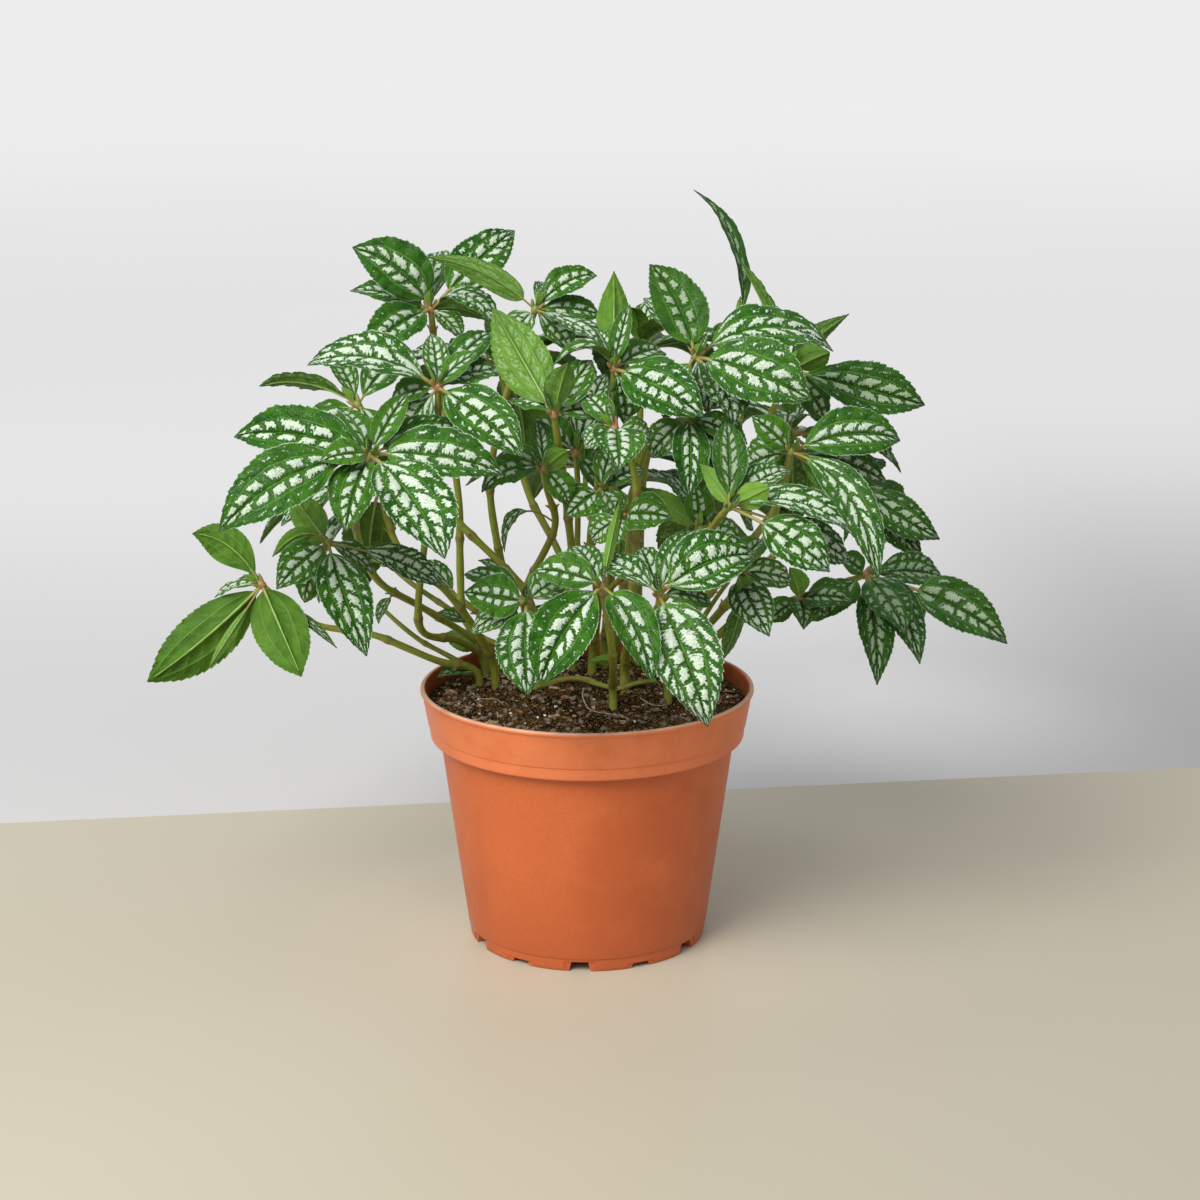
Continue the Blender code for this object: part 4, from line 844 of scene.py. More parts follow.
def top_material():
    n = Nodes("leaf_upper_face")
    x, t, q, a, young, silvery, dull_and_shaded, seed, flat = leaf_basics(n)
    blot = n.noise(flat, 2.8, 2.0, 0.5)
    feather = n.noise(n.join(n.mul(x, 13.0), n.mul(t, 2.4), n.add(seed, 5.0)), 5.0, 2.0, 0.6)
    dust = n.noise(n.join(n.mul(x, 6.0), n.mul(t, 2.9), n.add(seed, 3.0)), 24.0, 2.0, 0.6)
    qw = n.add(n.add(q, 40.0), n.mul(n.sub(blot, 0.5), 0.5))
    aw = n.add(a, n.mul(n.sub(blot, 0.5), 0.10))
    # The long patches between midrib and side vein, and the small ones outside the side vein.
    inner = n.low(n.sub(aw, 0.095), n.sub(LATERAL - 0.075, aw))
    inner = n.low(inner, n.mul(n.sub(between(n, qw), 0.28), 0.30))
    outer = n.low(n.sub(aw, LATERAL + 0.09), n.sub(0.86, aw))
    outer = n.low(outer, n.mul(n.sub(between(n, n.mul(qw, 1.4)), 0.44), 0.30))
    outer = n.sub(outer, n.line(silvery, 0.0, 1.0, 0.19, 0.02))
    field = n.high(inner, outer)
    field = n.low(field, n.low(n.mul(n.sub(x, 0.025), 0.9), n.mul(n.sub(0.985, x), 0.9)))
    field = n.add(field, n.line(silvery, 0.0, 1.0, -0.046, 0.004))
    ragged = n.add(n.mul(n.sub(feather, 0.5), n.line(young, 0.0, 1.0, 0.36, 0.10)), n.mul(n.sub(dust, 0.5), n.line(young, 0.0, 1.0, 0.12, 0.03)))
    edge = n.add(field, ragged)
    silver = n.ramp(edge, -0.012, 0.016)
    # Dark specks in the patches of some leaves, small pale dots in the green of most.
    own = n.math("FRACT", n.mul(seed, 0.37))
    silver = n.mul(silver, n.sub(1.0, n.mul(n.ramp(dust, 0.53, 0.64), n.ramp(own, 0.35, 0.95, 0.15, 0.85))))
    dots = n.cells(flat, 6.5)
    one = n.tree.nodes.new("ShaderNodeSeparateColor")
    n.put(one.inputs[0], dots["Color"])
    dot = n.mul(n.ramp(one.outputs[0], 0.66, 0.72), n.ramp(dots["Distance"], 0.24, 0.13))
    dot = n.mul(n.mul(dot, n.ramp(aw, 0.55, 0.62)), n.mul(n.ramp(aw, 0.94, 0.90), n.ramp(silvery, 0.1, 0.8)))
    silver = n.high(silver, n.mul(dot, 0.85))
    # A thin pale margin.
    rim = n.mul(n.ramp(a, 0.955, 0.99), n.ramp(feather, 0.34, 0.52))
    silver = n.high(silver, n.mul(rim, 0.7))
    tone = n.noise(n.join(n.mul(x, 3.0), n.mul(t, 2.0), seed), 2.2, 3.0)
    green = n.mix(n.ramp(tone, 0.3, 0.7), (0.008, 0.070, 0.001), (0.040, 0.160, 0.004))
    green = n.mix(n.mul(young, 0.85), green, (0.125, 0.33, 0.022))
    # Painted shade, partly a duller leaf: a darker, greyer green.
    green = n.mix(n.mul(dull_and_shaded, 0.7), green, (0.022, 0.080, 0.010))
    # A painted grey-green sheen beside the patches of some leaves.
    painted_sheen = n.mul(n.ramp(field, -0.16, -0.02), n.ramp(n.math("FRACT", n.mul(seed, 0.61)), 0.30, 0.95, 0.05, 0.62))
    green = n.mix(n.mul(painted_sheen, n.ramp(feather, 0.30, 0.62, 0.45, 1.0)), green, (0.095, 0.195, 0.060))
    # Darker round each patch, lighter along the veins and at the base.
    green = n.mix(n.mul(n.ramp(edge, -0.10, -0.015), 0.42), green, (0.009, 0.044, 0.002))
    vein = n.high(n.ramp(a, 0.042, 0.014), n.mul(n.ramp(n.math("ABSOLUTE", n.sub(aw, LATERAL)), 0.030, 0.006), 0.75))
    vein = n.high(vein, n.mul(n.mul(n.ramp(between(n, qw), 0.10, 0.02), n.ramp(aw, LATERAL, LATERAL - 0.05)), 0.35))
    vein = n.mul(vein, n.ramp(x, 1.0, 0.6, 0.35, 1.0))
    base = n.mul(n.ramp(x, 0.20, 0.0), 0.75)
    green = n.mix(n.high(n.mul(vein, 0.75), base), green, (0.12, 0.32, 0.03))
    pale = n.mix(n.ramp(dust, 0.42, 0.70), (0.71, 0.82, 0.66), (0.42, 0.56, 0.39))
    # Painted shade, partly a duller leaf: darker, greyer patches.
    pale = n.mix(n.mul(dull_and_shaded, 0.85), pale, (0.25, 0.36, 0.18))
    n.set(Base_Color=n.mix(silver, green, pale))
    n.set(Roughness=n.ramp(silver, 0.0, 1.0, 0.40, 0.52))
    n.set(Specular_IOR_Level=0.18)
    pits = n.cells(flat, 17.0)["Distance"]
    relief = n.add(n.mul(n.ramp(between(n, qw), 0.0, 0.3), 0.4), n.add(n.mul(n.ramp(pits, 0.0, 0.55), 0.45), n.mul(silver, 0.15)))
    relief = n.add(relief, n.mul(n.ramp(a, 0.0, 0.05), 0.6))
    n.set(Normal=n.bump(relief, 0.0008, 0.9))
    return n.material


def under_material():
    n = Nodes("leaf_under_face")
    x, t, q, a, young, silvery, dull_and_shaded, seed, flat = leaf_basics(n)
    tone = n.noise(n.join(n.mul(x, 3.0), n.mul(t, 2.0), seed), 2.0, 3.0)
    fine = n.noise(flat, 20.0, 2.0)
    green = n.mix(n.ramp(tone, 0.28, 0.72), (0.034, 0.108, 0.003), (0.078, 0.195, 0.008))
    green = n.mix(n.mul(young, 0.75), green, (0.26, 0.50, 0.07))
    # Painted shade, partly a duller leaf: a darker underside.
    green = n.mix(n.mul(dull_and_shaded, 0.6), green, (0.038, 0.100, 0.006))
    green = n.mix(n.mul(n.ramp(fine, 0.4, 0.75), 0.25), green, (0.12, 0.28, 0.022))
    # The patches of the upper face show through as a paler mottling.
    # A paler mottling laid out like the upper face's patches on the most silvery leaves: a painted sheen.
    blot = n.noise(flat, 6.0, 3.0, 0.6)
    painted_sheen_mottle = n.mul(n.ramp(between(n, n.add(q, 40.0)), 0.12, 0.34), n.mul(n.ramp(blot, 0.42, 0.60), n.ramp(silvery, 0.55, 1.0)))
    painted_sheen_mottle = n.mul(painted_sheen_mottle, n.mul(n.ramp(n.math("ABSOLUTE", n.sub(a, LATERAL)), 0.05, 0.12), n.mul(n.ramp(a, 0.09, 0.15), n.ramp(a, 0.92, 0.84))))
    green = n.mix(n.mul(painted_sheen_mottle, 0.55), green, (0.36, 0.53, 0.26))
    vein = n.high(n.ramp(a, 0.075, 0.02), n.mul(n.ramp(n.math("ABSOLUTE", n.sub(a, LATERAL)), 0.05, 0.01), 0.8))
    vein = n.high(vein, n.mul(n.ramp(between(n, n.add(q, 40.0)), 0.14, 0.02), 0.3))
    vein = n.high(vein, n.mul(n.ramp(a, 0.95, 0.99), 0.6))
    n.set(Base_Color=n.mix(n.mul(vein, 0.38), green, (0.26, 0.44, 0.09)))
    n.set(Specular_IOR_Level=0.22)
    n.set(Roughness=n.ramp(fine, 0.3, 0.7, 0.44, 0.56))
    n.set(Normal=n.bump(n.add(n.mul(vein, 0.8), n.mul(n.cells(flat, 15.0)["Distance"], 0.5)), 0.0006, 0.75))
    return n.material


def petiole_material():
    n = Nodes("petiole")
    x, t, _ = n.uv("leaf")
    young, _, _ = n.uv("vary")
    spots = n.noise(n.place(), 260.0, 3.0)
    green = n.mix(n.ramp(spots, 0.35, 0.7), (0.17, 0.30, 0.05), (0.27, 0.43, 0.10))
    olive = n.mix(n.ramp(spots, 0.35, 0.7), (0.24, 0.25, 0.04), (0.36, 0.26, 0.09))
    n.set(Base_Color=n.mix(n.ramp(x, 0.13, 0.02), green, olive))
    n.set(Roughness=n.ramp(spots, 0.3, 0.7, 0.36, 0.48))
    n.set(Normal=n.bump(spots, 0.0002, 0.5))
    return n.material


def node_material():
    n = Nodes("shoot_node")
    spots = n.noise(n.place(), 420.0, 3.0)
    wide = n.noise(n.place(), 130.0, 2.0)
    red = n.mix(n.ramp(spots, 0.35, 0.65), (0.31, 0.12, 0.050), (0.40, 0.24, 0.10))
    n.set(Base_Color=n.mix(n.ramp(wide, 0.42, 0.58), red, (0.22, 0.25, 0.05)))
    n.set(Roughness=n.ramp(spots, 0.3, 0.7, 0.42, 0.58))
    n.set(Normal=n.bump(spots, 0.0003, 0.6))
    return n.material


def stem_material():
    n = Nodes("stem_skin")
    along, around, _ = n.uv("stem")
    ring, seed, _ = n.uv("ring")
    streak = n.noise(n.join(n.mul(along, 12.0), n.mul(around, 7.0), n.mul(seed, 50.0)), 2.2, 4.0, 0.6)
    spots = n.noise(n.place(), 380.0, 3.0)
    tone = n.noise(n.place(), 30.0, 2.0)
    green = n.mix(n.ramp(streak, 0.32, 0.68), (0.165, 0.205, 0.013), (0.33, 0.385, 0.040))
    green = n.mix(n.mul(n.ramp(tone, 0.42, 0.70), 0.5), green, (0.27, 0.21, 0.03))
    scar = n.mul(n.ramp(ring, 0.35, 0.95), n.ramp(spots, 0.25, 0.55))
    n.set(Base_Color=n.mix(n.mul(scar, 0.7), green, (0.24, 0.10, 0.05)))
    n.set(Roughness=n.ramp(streak, 0.3, 0.7, 0.40, 0.52))
    n.set(Normal=n.bump(n.add(streak, n.mul(spots, 0.4)), 0.0004, 0.7))
    return n.material


TOP, BELOW, PETIOLE, NODE, STEM = top_material(), under_material(), petiole_material(), node_material(), stem_material()

# ------------------------------------------------------------------------------------------ fine leaves

SLANT = 0.20
OUTLINE_X = (0.0, 0.03, 0.08, 0.16, 0.27, 0.40, 0.53, 0.66, 0.77, 0.86, 0.925, 0.97, 1.0)
OUTLINE_W = (0.05, 0.21, 0.40, 0.66, 0.88, 0.99, 0.975, 0.85, 0.66, 0.425, 0.235, 0.105, 0.012)


def outline(x):
    """The blade's half width, 0 to 1: widest before its middle, wedge-shaped at the base, the tip drawn out."""
    X, W = np.array(OUTLINE_X), np.array(OUTLINE_W)
    slope = np.gradient(W, X)
    k = np.clip(np.searchsorted(X, x, side="right") - 1, 0, len(X) - 2)
    h = X[k + 1] - X[k]
    f = (x - X[k]) / h
    return (2 * f**3 - 3 * f**2 + 1) * W[k] + (f**3 - 2 * f**2 + f) * h * slope[k] + (3 * f**2 - 2 * f**3) * W[k + 1] + (f**3 - f**2) * h * slope[k + 1]


def stations(teeth, fine):
    low, high = 0.22, 0.955
    xs = list(np.linspace(0.0, low, 8 if fine else 5)[:-1])
    out = [0.0] * len(xs)
    step = (high - low) / teeth
    for k in range(teeth):
        for share, tooth in ((0.0, -0.5), (0.40, 0.35), (0.80, 1.0)):
            xs.append(low + step * (k + share))
            out.append(tooth)
    xs += [high, 0.975, 1.0]
    out += [-0.3, 0.0, 0.0]
    return np.array(xs), np.array(out)


COLUMNS = {8: (0, 0.07, 0.2, 0.34, 0.45, 0.55, 0.7, 0.86, 1.0), 5: (0, 0.1, 0.3, 0.5, 0.75, 1.0), 3: (0, 0.4, 0.75, 1.0)}


def unit(v):
    return v / np.linalg.norm(v, axis=-1, keepdims=True)


def curve_of(one, s):
    """Points, directions, upper normals and sides of a leaf's midrib at the shares s of its length."""
    b, c, e = (np.array(v) for v in (one.start, one.mid, one.end))
    at = np.outer((1 - s) ** 2, b) + np.outer(2 * s * (1 - s), c) + np.outer(s**2, e)
    along = unit(np.outer(1 - s, c - b) + np.outer(s, e - c))
    top = np.array(one.top)[None, :]
    up = unit(top - along * (along @ top[0])[:, None])
    return at, along, up, np.cross(along, up)


class Sheet:
    """Collects the parts of one piece: points, faces, slots and UVs, with a rectangle for each part in the bake's
    map."""

    def __init__(self):
        self.points, self.faces, self.slots, self.maps, self.patches, self.count = [], [], [], [], [], 0

    def take(self, points, faces, slot, maps, flat, size):
        """maps: (n, 8) pattern coordinates; flat: (n, 2) in 0..1 in this part's rectangle, of `size` metres."""
        self.points.append(np.asarray(points))
        faces = [[int(i) + self.count for i in f] for f in faces]
        self.patches.append((len(self.faces), len(self.faces) + len(faces), np.asarray(flat), self.count, size))
        self.faces += faces
        self.slots += [slot] * len(faces)
        self.maps.append(np.asarray(maps))
        self.count += len(points)


def pack(sizes):
    """Shelf packing of rectangles into the unit square: their corners and the scale."""
    order = sorted(range(len(sizes)), key=lambda i: (-sizes[i][1], i))
    area = sum(w * h for w, h in sizes)
    scale = 1 / math.sqrt(area)
    while True:
        gap, x, y, shelf, spots = 0.004, 0.004, 0.004, 0.0, {}
        for i in order:
            w, h = sizes[i][0] * scale, sizes[i][1] * scale
            if x + w + gap > 1:
                x, y, shelf = 0.004, y + shelf + gap, 0.0
            spots[i] = (x, y)
            x += w + gap
            shelf = max(shelf, h)
        if y + shelf + gap <= 1 and max(s[0] for s in sizes) * scale < 0.99:
            return spots, scale
        scale *= 0.97


def finish_piece(sheet_, name, materials, keys, sharp):
    maps = np.vstack(sheet_.maps)
    spots, scale = pack([p[4] for p in sheet_.patches])
    corners = sum(len(f) for f in sheet_.faces)
    bake = np.zeros((corners, 2))
    at = 0
    for i, (first, last, flat, start, size) in enumerate(sheet_.patches):
        index = np.array([v for f in sheet_.faces[first:last] for v in f]) - start
        bake[at : at + len(index)] = np.array(spots[i]) + flat[index] * np.array(size) * scale
        at += len(index)
    uvs = {key: maps[:, 2 * k : 2 * k + 2] for k, key in enumerate(keys)}
    if keys[0] == "stem":
        uvs["leaf"], uvs["vein"] = uvs["stem"], uvs["ring"]
    uvs["*OFBake"] = bake
    return build(name, np.vstack(sheet_.points), sheet_.faces, materials, sheet_.slots, uvs, sharp)


def fine_leaf(sheet_, one, rng, teeth, columns, look, slots=(0, 1, 2)):
    """Adds a leaf: the upper and lower faces meet at the margin, and the petiole runs on under it as its midrib."""
    fine = columns == 8
    xs, tooth = stations(teeth, fine)
    half_ts = np.array(COLUMNS[columns])
    ts = np.r_[-half_ts[:0:-1], half_ts]
    n, m = len(xs), len(ts)
    at, along, up, side = curve_of(one, one.pet + (1 - one.pet) * xs)
    wide = one.wide
    shape = outline(np.clip(xs, 0, 1) ** (one.form * rng.uniform(0.92, 1.10)))
    half = np.maximum(wide * shape, 0.0003)
    X, T = np.meshgrid(xs, ts, indexing="ij")
    A = np.abs(T)
    phase = [rng.uniform(0, 6.28) for _ in range(6)]
    right = (T > 0).astype(float)
    # Cross veins: whole numbers of Q, further apart near the base, bowed forward on their way out.
    veins = rng.uniform(5.6, 7.4) * (0.8 if one.length < 34 * MM else 1.0)
    ahead = X - SLANT * A**1.3 - 0.03
    Q = veins * np.sign(ahead) * np.abs(ahead) ** 1.36 + 0.22 + right * rng.uniform(0.2, 0.6)
    Q = Q + 0.16 * np.sin(3.2 * X * 3 + phase[0] + right * 2) + 0.10 * np.sin(9 * A + phase[1])
    VA = A + 0.03 * np.sin(11 * X + phase[2] + right * 2) * A * (1 - A) * 3
    inside = 1 - np.abs((Q - np.floor(Q)) * 2 - 1)
    def ease(v):
        v = np.clip(v, 0, 1)
        return v * v * (3 - 2 * v)
    nearest = np.minimum(np.minimum(VA / 0.22, np.abs(VA - LATERAL) / 0.2), 1)
    quilt = ease(inside / 0.55) * ease(nearest)
    edge = np.clip((A - 0.78) / 0.22, 0, 1)
    H = half[:, None] * (1 + tooth[:, None] * edge * look["teeth"])
    fold = one.fold + look.get("fold", 0.0)
    spread = H * T * math.cos(fold)
    rise = H * (math.sin(fold) * (np.sqrt(T * T + 0.004) - 0.063) - one.curl * T * T)
    rise += quilt * wide * look["puff"] * np.clip(shape * 1.7, 0, 1)[:, None]
    rise += wide * 0.05 * ease(A / 0.12) * np.clip(shape * 1.5, 0, 1)[:, None]
    wave = np.where(T > 0, np.sin(X * rng.uniform(9, 14) + phase[3]), np.sin(X * rng.uniform(9, 14) + phase[4]))
    rise += wave * wide * look["wave"] * T * T * np.clip(np.sin(np.pi * X), 0, 1)
    rise += look["twist"] * (X - 0.3) * H * T
    rise -= look["droop"] * one.length * np.clip((X - 0.55) / 0.45, 0, 1) ** 2
    forward = tooth[:, None] * edge * one.length * 0.006
    P = at[:, None, :] + side[:, None, :] * spread[..., None] + up[:, None, :] * rise[..., None] + along[:, None, :] * forward[..., None]
    thick = 0.00045 * np.clip(wide / 0.011, 0.6, 1.2)
    low = P - up[:, None, :] * (thick * (1 - A**6))[..., None]
    low[0], low[-1] = P[0], P[-1]
    low[:, 0], low[:, -1] = P[:, 0], P[:, -1]
    index = np.arange(n * m).reshape(n, m)
    maps = np.stack([X, (T + 1) / 2, Q, VA, np.full_like(X, look["young"]), np.full_like(X, look["silver"]), np.full_like(X, look["dull_and_shaded"]), np.full_like(X, rng.random())], -1)
    # Drop the lower face's own margin: it takes the upper face's points.
    keep = np.zeros((n, m), bool)
    keep[1:-1, 1:-1] = True
    below = np.where(keep, np.cumsum(keep).reshape(n, m) - 1 + n * m, index)
    upper = np.stack([index[:-1, :-1], index[1:, :-1], index[1:, 1:], index[:-1, 1:]], -1).reshape(-1, 4)
    lower = np.stack([below[:-1, :-1], below[:-1, 1:], below[1:, 1:], below[1:, :-1]], -1).reshape(-1, 4)
    if np.dot(np.cross(P[n // 2 + 1, m // 2] - P[n // 2, m // 2], P[n // 2, m // 2 + 1] - P[n // 2, m // 2]), up[n // 2]) < 0:
        upper, lower = upper[:, ::-1], lower[:, ::-1]
    points = np.vstack([P.reshape(-1, 3), low[keep]])
    every = np.vstack([maps.reshape(-1, 8), maps[keep]])
    flat = np.stack([X, (H / half.max() * T + 1.06) / 2.12], -1)
    flat = np.vstack([flat.reshape(-1, 2), flat[keep]])
    size = (one.length * (1 - one.pet), 2.12 * wide)
    start = sheet_.count
    sheet_.take(points, upper, slots[0], every, flat, size)
    # The lower face uses the same points.
    first = len(sheet_.faces)
    sheet_.faces += (lower + start).tolist()
    sheet_.slots += [slots[1]] * len(lower)
    sheet_.patches.append((first, len(sheet_.faces), flat, start, (size[0] * 0.62, size[1] * 0.62)))
    # Petiole and midrib.
    share = (0.0, 0.25, 0.5, 0.75, 1.0)
    s = np.r_[[0.9 * MM / one.length + (one.pet - 0.9 * MM / one.length) * f for f in share], one.pet + (1 - one.pet) * np.linspace(0.05, 0.93, 9 if fine else 5)]
    pa, pal, pu, ps = curve_of(one, s)
    x = np.clip((s - one.pet) / (1 - one.pet), 0, 1)
    big = np.clip(wide / 0.0125, 0.5, 1.1)
    radius = np.where(s < one.pet + 1e-9, 0.00088, 0.00070 * (1 - 0.75 * x)) * big
    drop = (radius * 0.75 + thick * 0.5) * np.clip(x / 0.06, 0, 1) + look["droop"] * one.length * np.clip((x - 0.55) / 0.45, 0, 1) ** 2
    sides = 6
    angle = np.arange(sides) * math.tau / sides
    ring = pa[:, None, :] - pu[:, None, :] * drop[:, None, None] + radius[:, None, None] * (ps[:, None, :] * np.cos(angle)[None, :, None] + pu[:, None, :] * np.sin(angle)[None, :, None])
    tube_of(sheet_, ring, slots[2], [x.repeat(sides), np.tile(np.arange(sides) / sides, len(s)), look["young"]], (one.length, 0.004))


def tube_of(sheet_, ring, slot, extra, size):
    """Adds a closed tube through rings (k, sides, 3), with a seam in the bake's map."""
    k, sides = ring.shape[:2]
    index = np.arange(k * sides).reshape(k, sides)
    nxt = np.roll(index, -1, axis=1)
    faces = np.stack([index[:-1], nxt[:-1], nxt[1:], index[1:]], -1).reshape(-1, 4)
    mid = ring.mean(axis=1)
    a, b, c = ring[0, 0], ring[0, 1], ring[1, 1]
    if np.dot(np.cross(b - a, c - a), a - mid[0]) < 0:
        faces = faces[:, ::-1]
        caps = [list(index[0]), list(index[-1][::-1])]
    else:
        caps = [list(index[0][::-1]), list(index[-1])]
    maps = np.zeros((k * sides, 8))
    maps[:, 0], maps[:, 1] = extra[0], extra[1]
    if len(extra) > 2:
        maps[:, 4] = extra[2]
    if len(extra) > 3:
        maps[:, 2], maps[:, 3] = extra[3], extra[4]
    flat = np.stack([np.repeat(np.linspace(0, 1, k), sides), np.tile(1 - np.abs(np.arange(sides) / (sides / 2) - 1), k)], -1)
    sheet_.take(ring.reshape(-1, 3), [list(f) for f in faces] + caps, slot, maps, flat, size)


def ball(sheet_, at, axis, long, wide, slot, steps=5, sides=8, seed=0.0):
    """Adds a small closed ellipsoid along an axis."""
    axis = np.array(axis.normalized())
    side = np.cross(axis, (0.31, 1.0, 0.23))
    side /= np.linalg.norm(side)
    other = np.cross(axis, side)
    rings = []
    for i in range(steps + 1):
        f = 0.12 + (math.pi - 0.24) * i / steps
        g = np.arange(sides) * math.tau / sides
        rings.append(np.array(at) - axis * long * math.cos(f) + (side[None] * np.cos(g)[:, None] + other[None] * np.sin(g)[:, None]) * wide * math.sin(f))
    tube_of(sheet_, np.array(rings), slot, [np.repeat(np.linspace(0, 1, steps + 1), sides), np.tile(np.arange(sides) / sides, steps + 1)], (2 * long, 2 * wide))


# How a leaf differs from its kind, by shoot and place in the list: young 0 to 1, silver 0 to 1, and how dull and dark 0
# to 1, partly a duller leaf and partly painted shade.
LOOKS = {
    ("07", 0): dict(silver=0.2, young=0.35, dull_and_shaded=0.9), ("03", 0): dict(silver=0.35, dull_and_shaded=0.35), ("12", 1): dict(dull_and_shaded=0.6),
    ("05", 0): dict(young=0.45, silver=1.0), ("04", 0): dict(young=0.35), ("12", 0): dict(young=0.9), ("12", 3): dict(young=0.8), ("06", 3): dict(young=0.25),
    ("17", 0): dict(young=0.0, dull_and_shaded=0.5), ("17", 1): dict(young=0.1, dull_and_shaded=0.1), ("17", 2): dict(young=0.1), ("17", 3): dict(young=0.7),
    ("28", 0): dict(dull_and_shaded=0.9, silver=0.35), ("14", 1): dict(young=0.8), ("24", 2): dict(young=0.7), ("07", 2): dict(silver=0.7),
    ("08", 3): dict(dull_and_shaded=0.8, silver=0.6), ("09", 0): dict(dull_and_shaded=0.2, silver=0.5), ("25", 0): dict(silver=1.0, dull_and_shaded=0.0),
}
# Shoots on the right, away from the key light, made duller and darker: painted shade.
DULL_AND_SHADED_SHOOTS = {"10": 0.5, "11": 0.7, "27": 0.55, "25": 0.35, "09": 0.15, "08": 0.2}


def look_of(shoot, k, one, rng):
    long = one.length / MM
    young = min(1.0, max(0.0, (44 - long) / 34)) * 0.85 + rng.uniform(-0.08, 0.08)
    look = dict(
        young=young, silver=rng.uniform(0.40, 1.0), dull_and_shaded=DULL_AND_SHADED_SHOOTS.get(shoot, 0.0) * rng.uniform(0.7, 1.2) + rng.uniform(0, 0.15),
        teeth=rng.uniform(0.022, 0.042), puff=rng.uniform(0.06, 0.10), wave=rng.uniform(0.03, 0.10), twist=rng.uniform(-0.22, 0.22), droop=rng.uniform(0.0, 0.05),
        fold=math.radians(rng.uniform(-5, 11)),
    )
    look.update(LOOKS.get((shoot, k), {}))
    look["young"] = min(1.0, max(0.0, look["young"]))
    look["dull_and_shaded"] = min(1.0, look["dull_and_shaded"])
    return look


def rosette(name, node, leaves, way):
    """The piece for one shoot: its leaves, node, scales and bud."""
    rng = random.Random(int(name) * 7919)
    piece = Sheet()
    at = sheet(*node)
    out = (way[-1] - way[-2]).normalized()
    for key in sorted(leaves):
        one = leaves[key]
        big = one.length > 40 * MM or one.wide > 7.5 * MM
        fine_leaf(piece, one, rng, 13 if big else 8, 8 if big else 5, look_of(name, key, one, rng))
    ball(piece, at, out, 2.6 * MM, 2.0 * MM, 3, 6, 10)
    side = out.cross(Vector((0.2, -1, 0.4))).normalized()
    for sign in (-1, 1):
        ball(piece, at + side * sign * 1.8 * MM + out * 2.0 * MM, out + side * sign * 0.45, 3.2 * MM, 1.0 * MM, 3, 5, 6)
    turn = rng.uniform(0, 3.14)
    for k in range(2):
        across = side * math.cos(turn + math.pi * k) + out.cross(side) * math.sin(turn + math.pi * k)
        bud = Leaf.__new__(Leaf)
        bud.start = at + out * 1.2 * MM
        tip = out * rng.uniform(8.5, 12.0) * MM + across * rng.uniform(2, 4) * MM
        bud.end = bud.start + tip
        bud.length = tip.length
        bud.top = -(across - tip.normalized() * across.dot(tip.normalized())).normalized()
        bud.mid = (bud.start + bud.end) / 2 + across * 1.6 * MM
        bud.pet, bud.wide, bud.fold, bud.curl, bud.form = 0.14, 2.4 * MM, math.radians(30), 0.0, 1.0
        look = dict(young=1.0, silver=0.55, dull_and_shaded=0.0, teeth=0.05, puff=0.08, wave=0.03, twist=0.0, droop=0.0)
        fine_leaf(piece, bud, rng, 5, 3, look)
    return finish_piece(piece, "foliage_" + name, [TOP, BELOW, PETIOLE, NODE], ("leaf", "vein", "vary", "mood"), 70)


# ------------------------------------------------------------------------------------------ fine stems


def fine_tube(sheet_, path, low, high, rng, joints, sides=12):
    """Adds a round stem through the path, with a swollen ring at each of the joints (metres from its foot)."""
    path = [np.array(p) for p in path]
    length = np.r_[0, np.cumsum([np.linalg.norm(b - a) for a, b in zip(path, path[1:])])]
    total = length[-1]
    marks = sorted(set(np.round(np.r_[np.arange(0, total, 0.0035), total, [j + d for j in joints for d in (-0.0018, -0.0009, 0, 0.0009, 0.0018) if 0 < j + d < total]], 5)))
    marks = np.array(marks)
    pts = np.stack([np.interp(marks, length, [p[i] for p in path]) for i in range(3)], -1)
    # Round off the path's corners.
    for _ in range(3):
        pts[1:-1] = (pts[:-2] + 2 * pts[1:-1] + pts[2:]) / 4
    along = unit(np.gradient(pts, axis=0))
    side = np.cross(along[0], (0.0, 1.0, 0.1))
    rings, ringness = [], []
    for k in range(len(pts)):
        side = side - along[k] * side.dot(along[k])
        side /= np.linalg.norm(side)
        other = np.cross(along[k], side)
        f = marks[k] / total
        r = low + (high - low) * f
        near = max([math.exp(-(((marks[k] - j) / 0.0016) ** 2)) for j in joints] or [0.0])
        r *= 1 + 0.30 * near + 0.04 * math.sin(marks[k] * 240 + joints[0] * 999 if joints else 0)
        a = np.arange(sides) * math.tau / sides
        ridge = 1 + 0.05 * np.cos(4 * a + 0.6) 
        rings.append(pts[k] + (side[None] * np.cos(a)[:, None] + other[None] * np.sin(a)[:, None]) * (r * ridge)[:, None])
        ringness.append(near)
    s = marks.repeat(sides)
    tube_of(sheet_, np.array(rings), 0, [s / 0.1, np.tile(1 - np.abs(np.arange(sides) / (sides / 2) - 1), len(marks)), 0.0, np.repeat(ringness, sides), rng.random()], (total, 0.012))


def scale_leaf(sheet_, at, along, rng, slot=1):
    """Adds the dried scales at a joint."""
    side = along.cross(Vector((rng.uniform(-1, 1), rng.uniform(-1, 1), 0.3))).normalized()
    for sign in (-1, 1):
        ball(sheet_, at + side * sign * 2.1 * MM + along * 1.0 * MM, along + side * sign * rng.uniform(0.4, 0.9), 2.0 * MM, 0.55 * MM, slot, 4, 5)


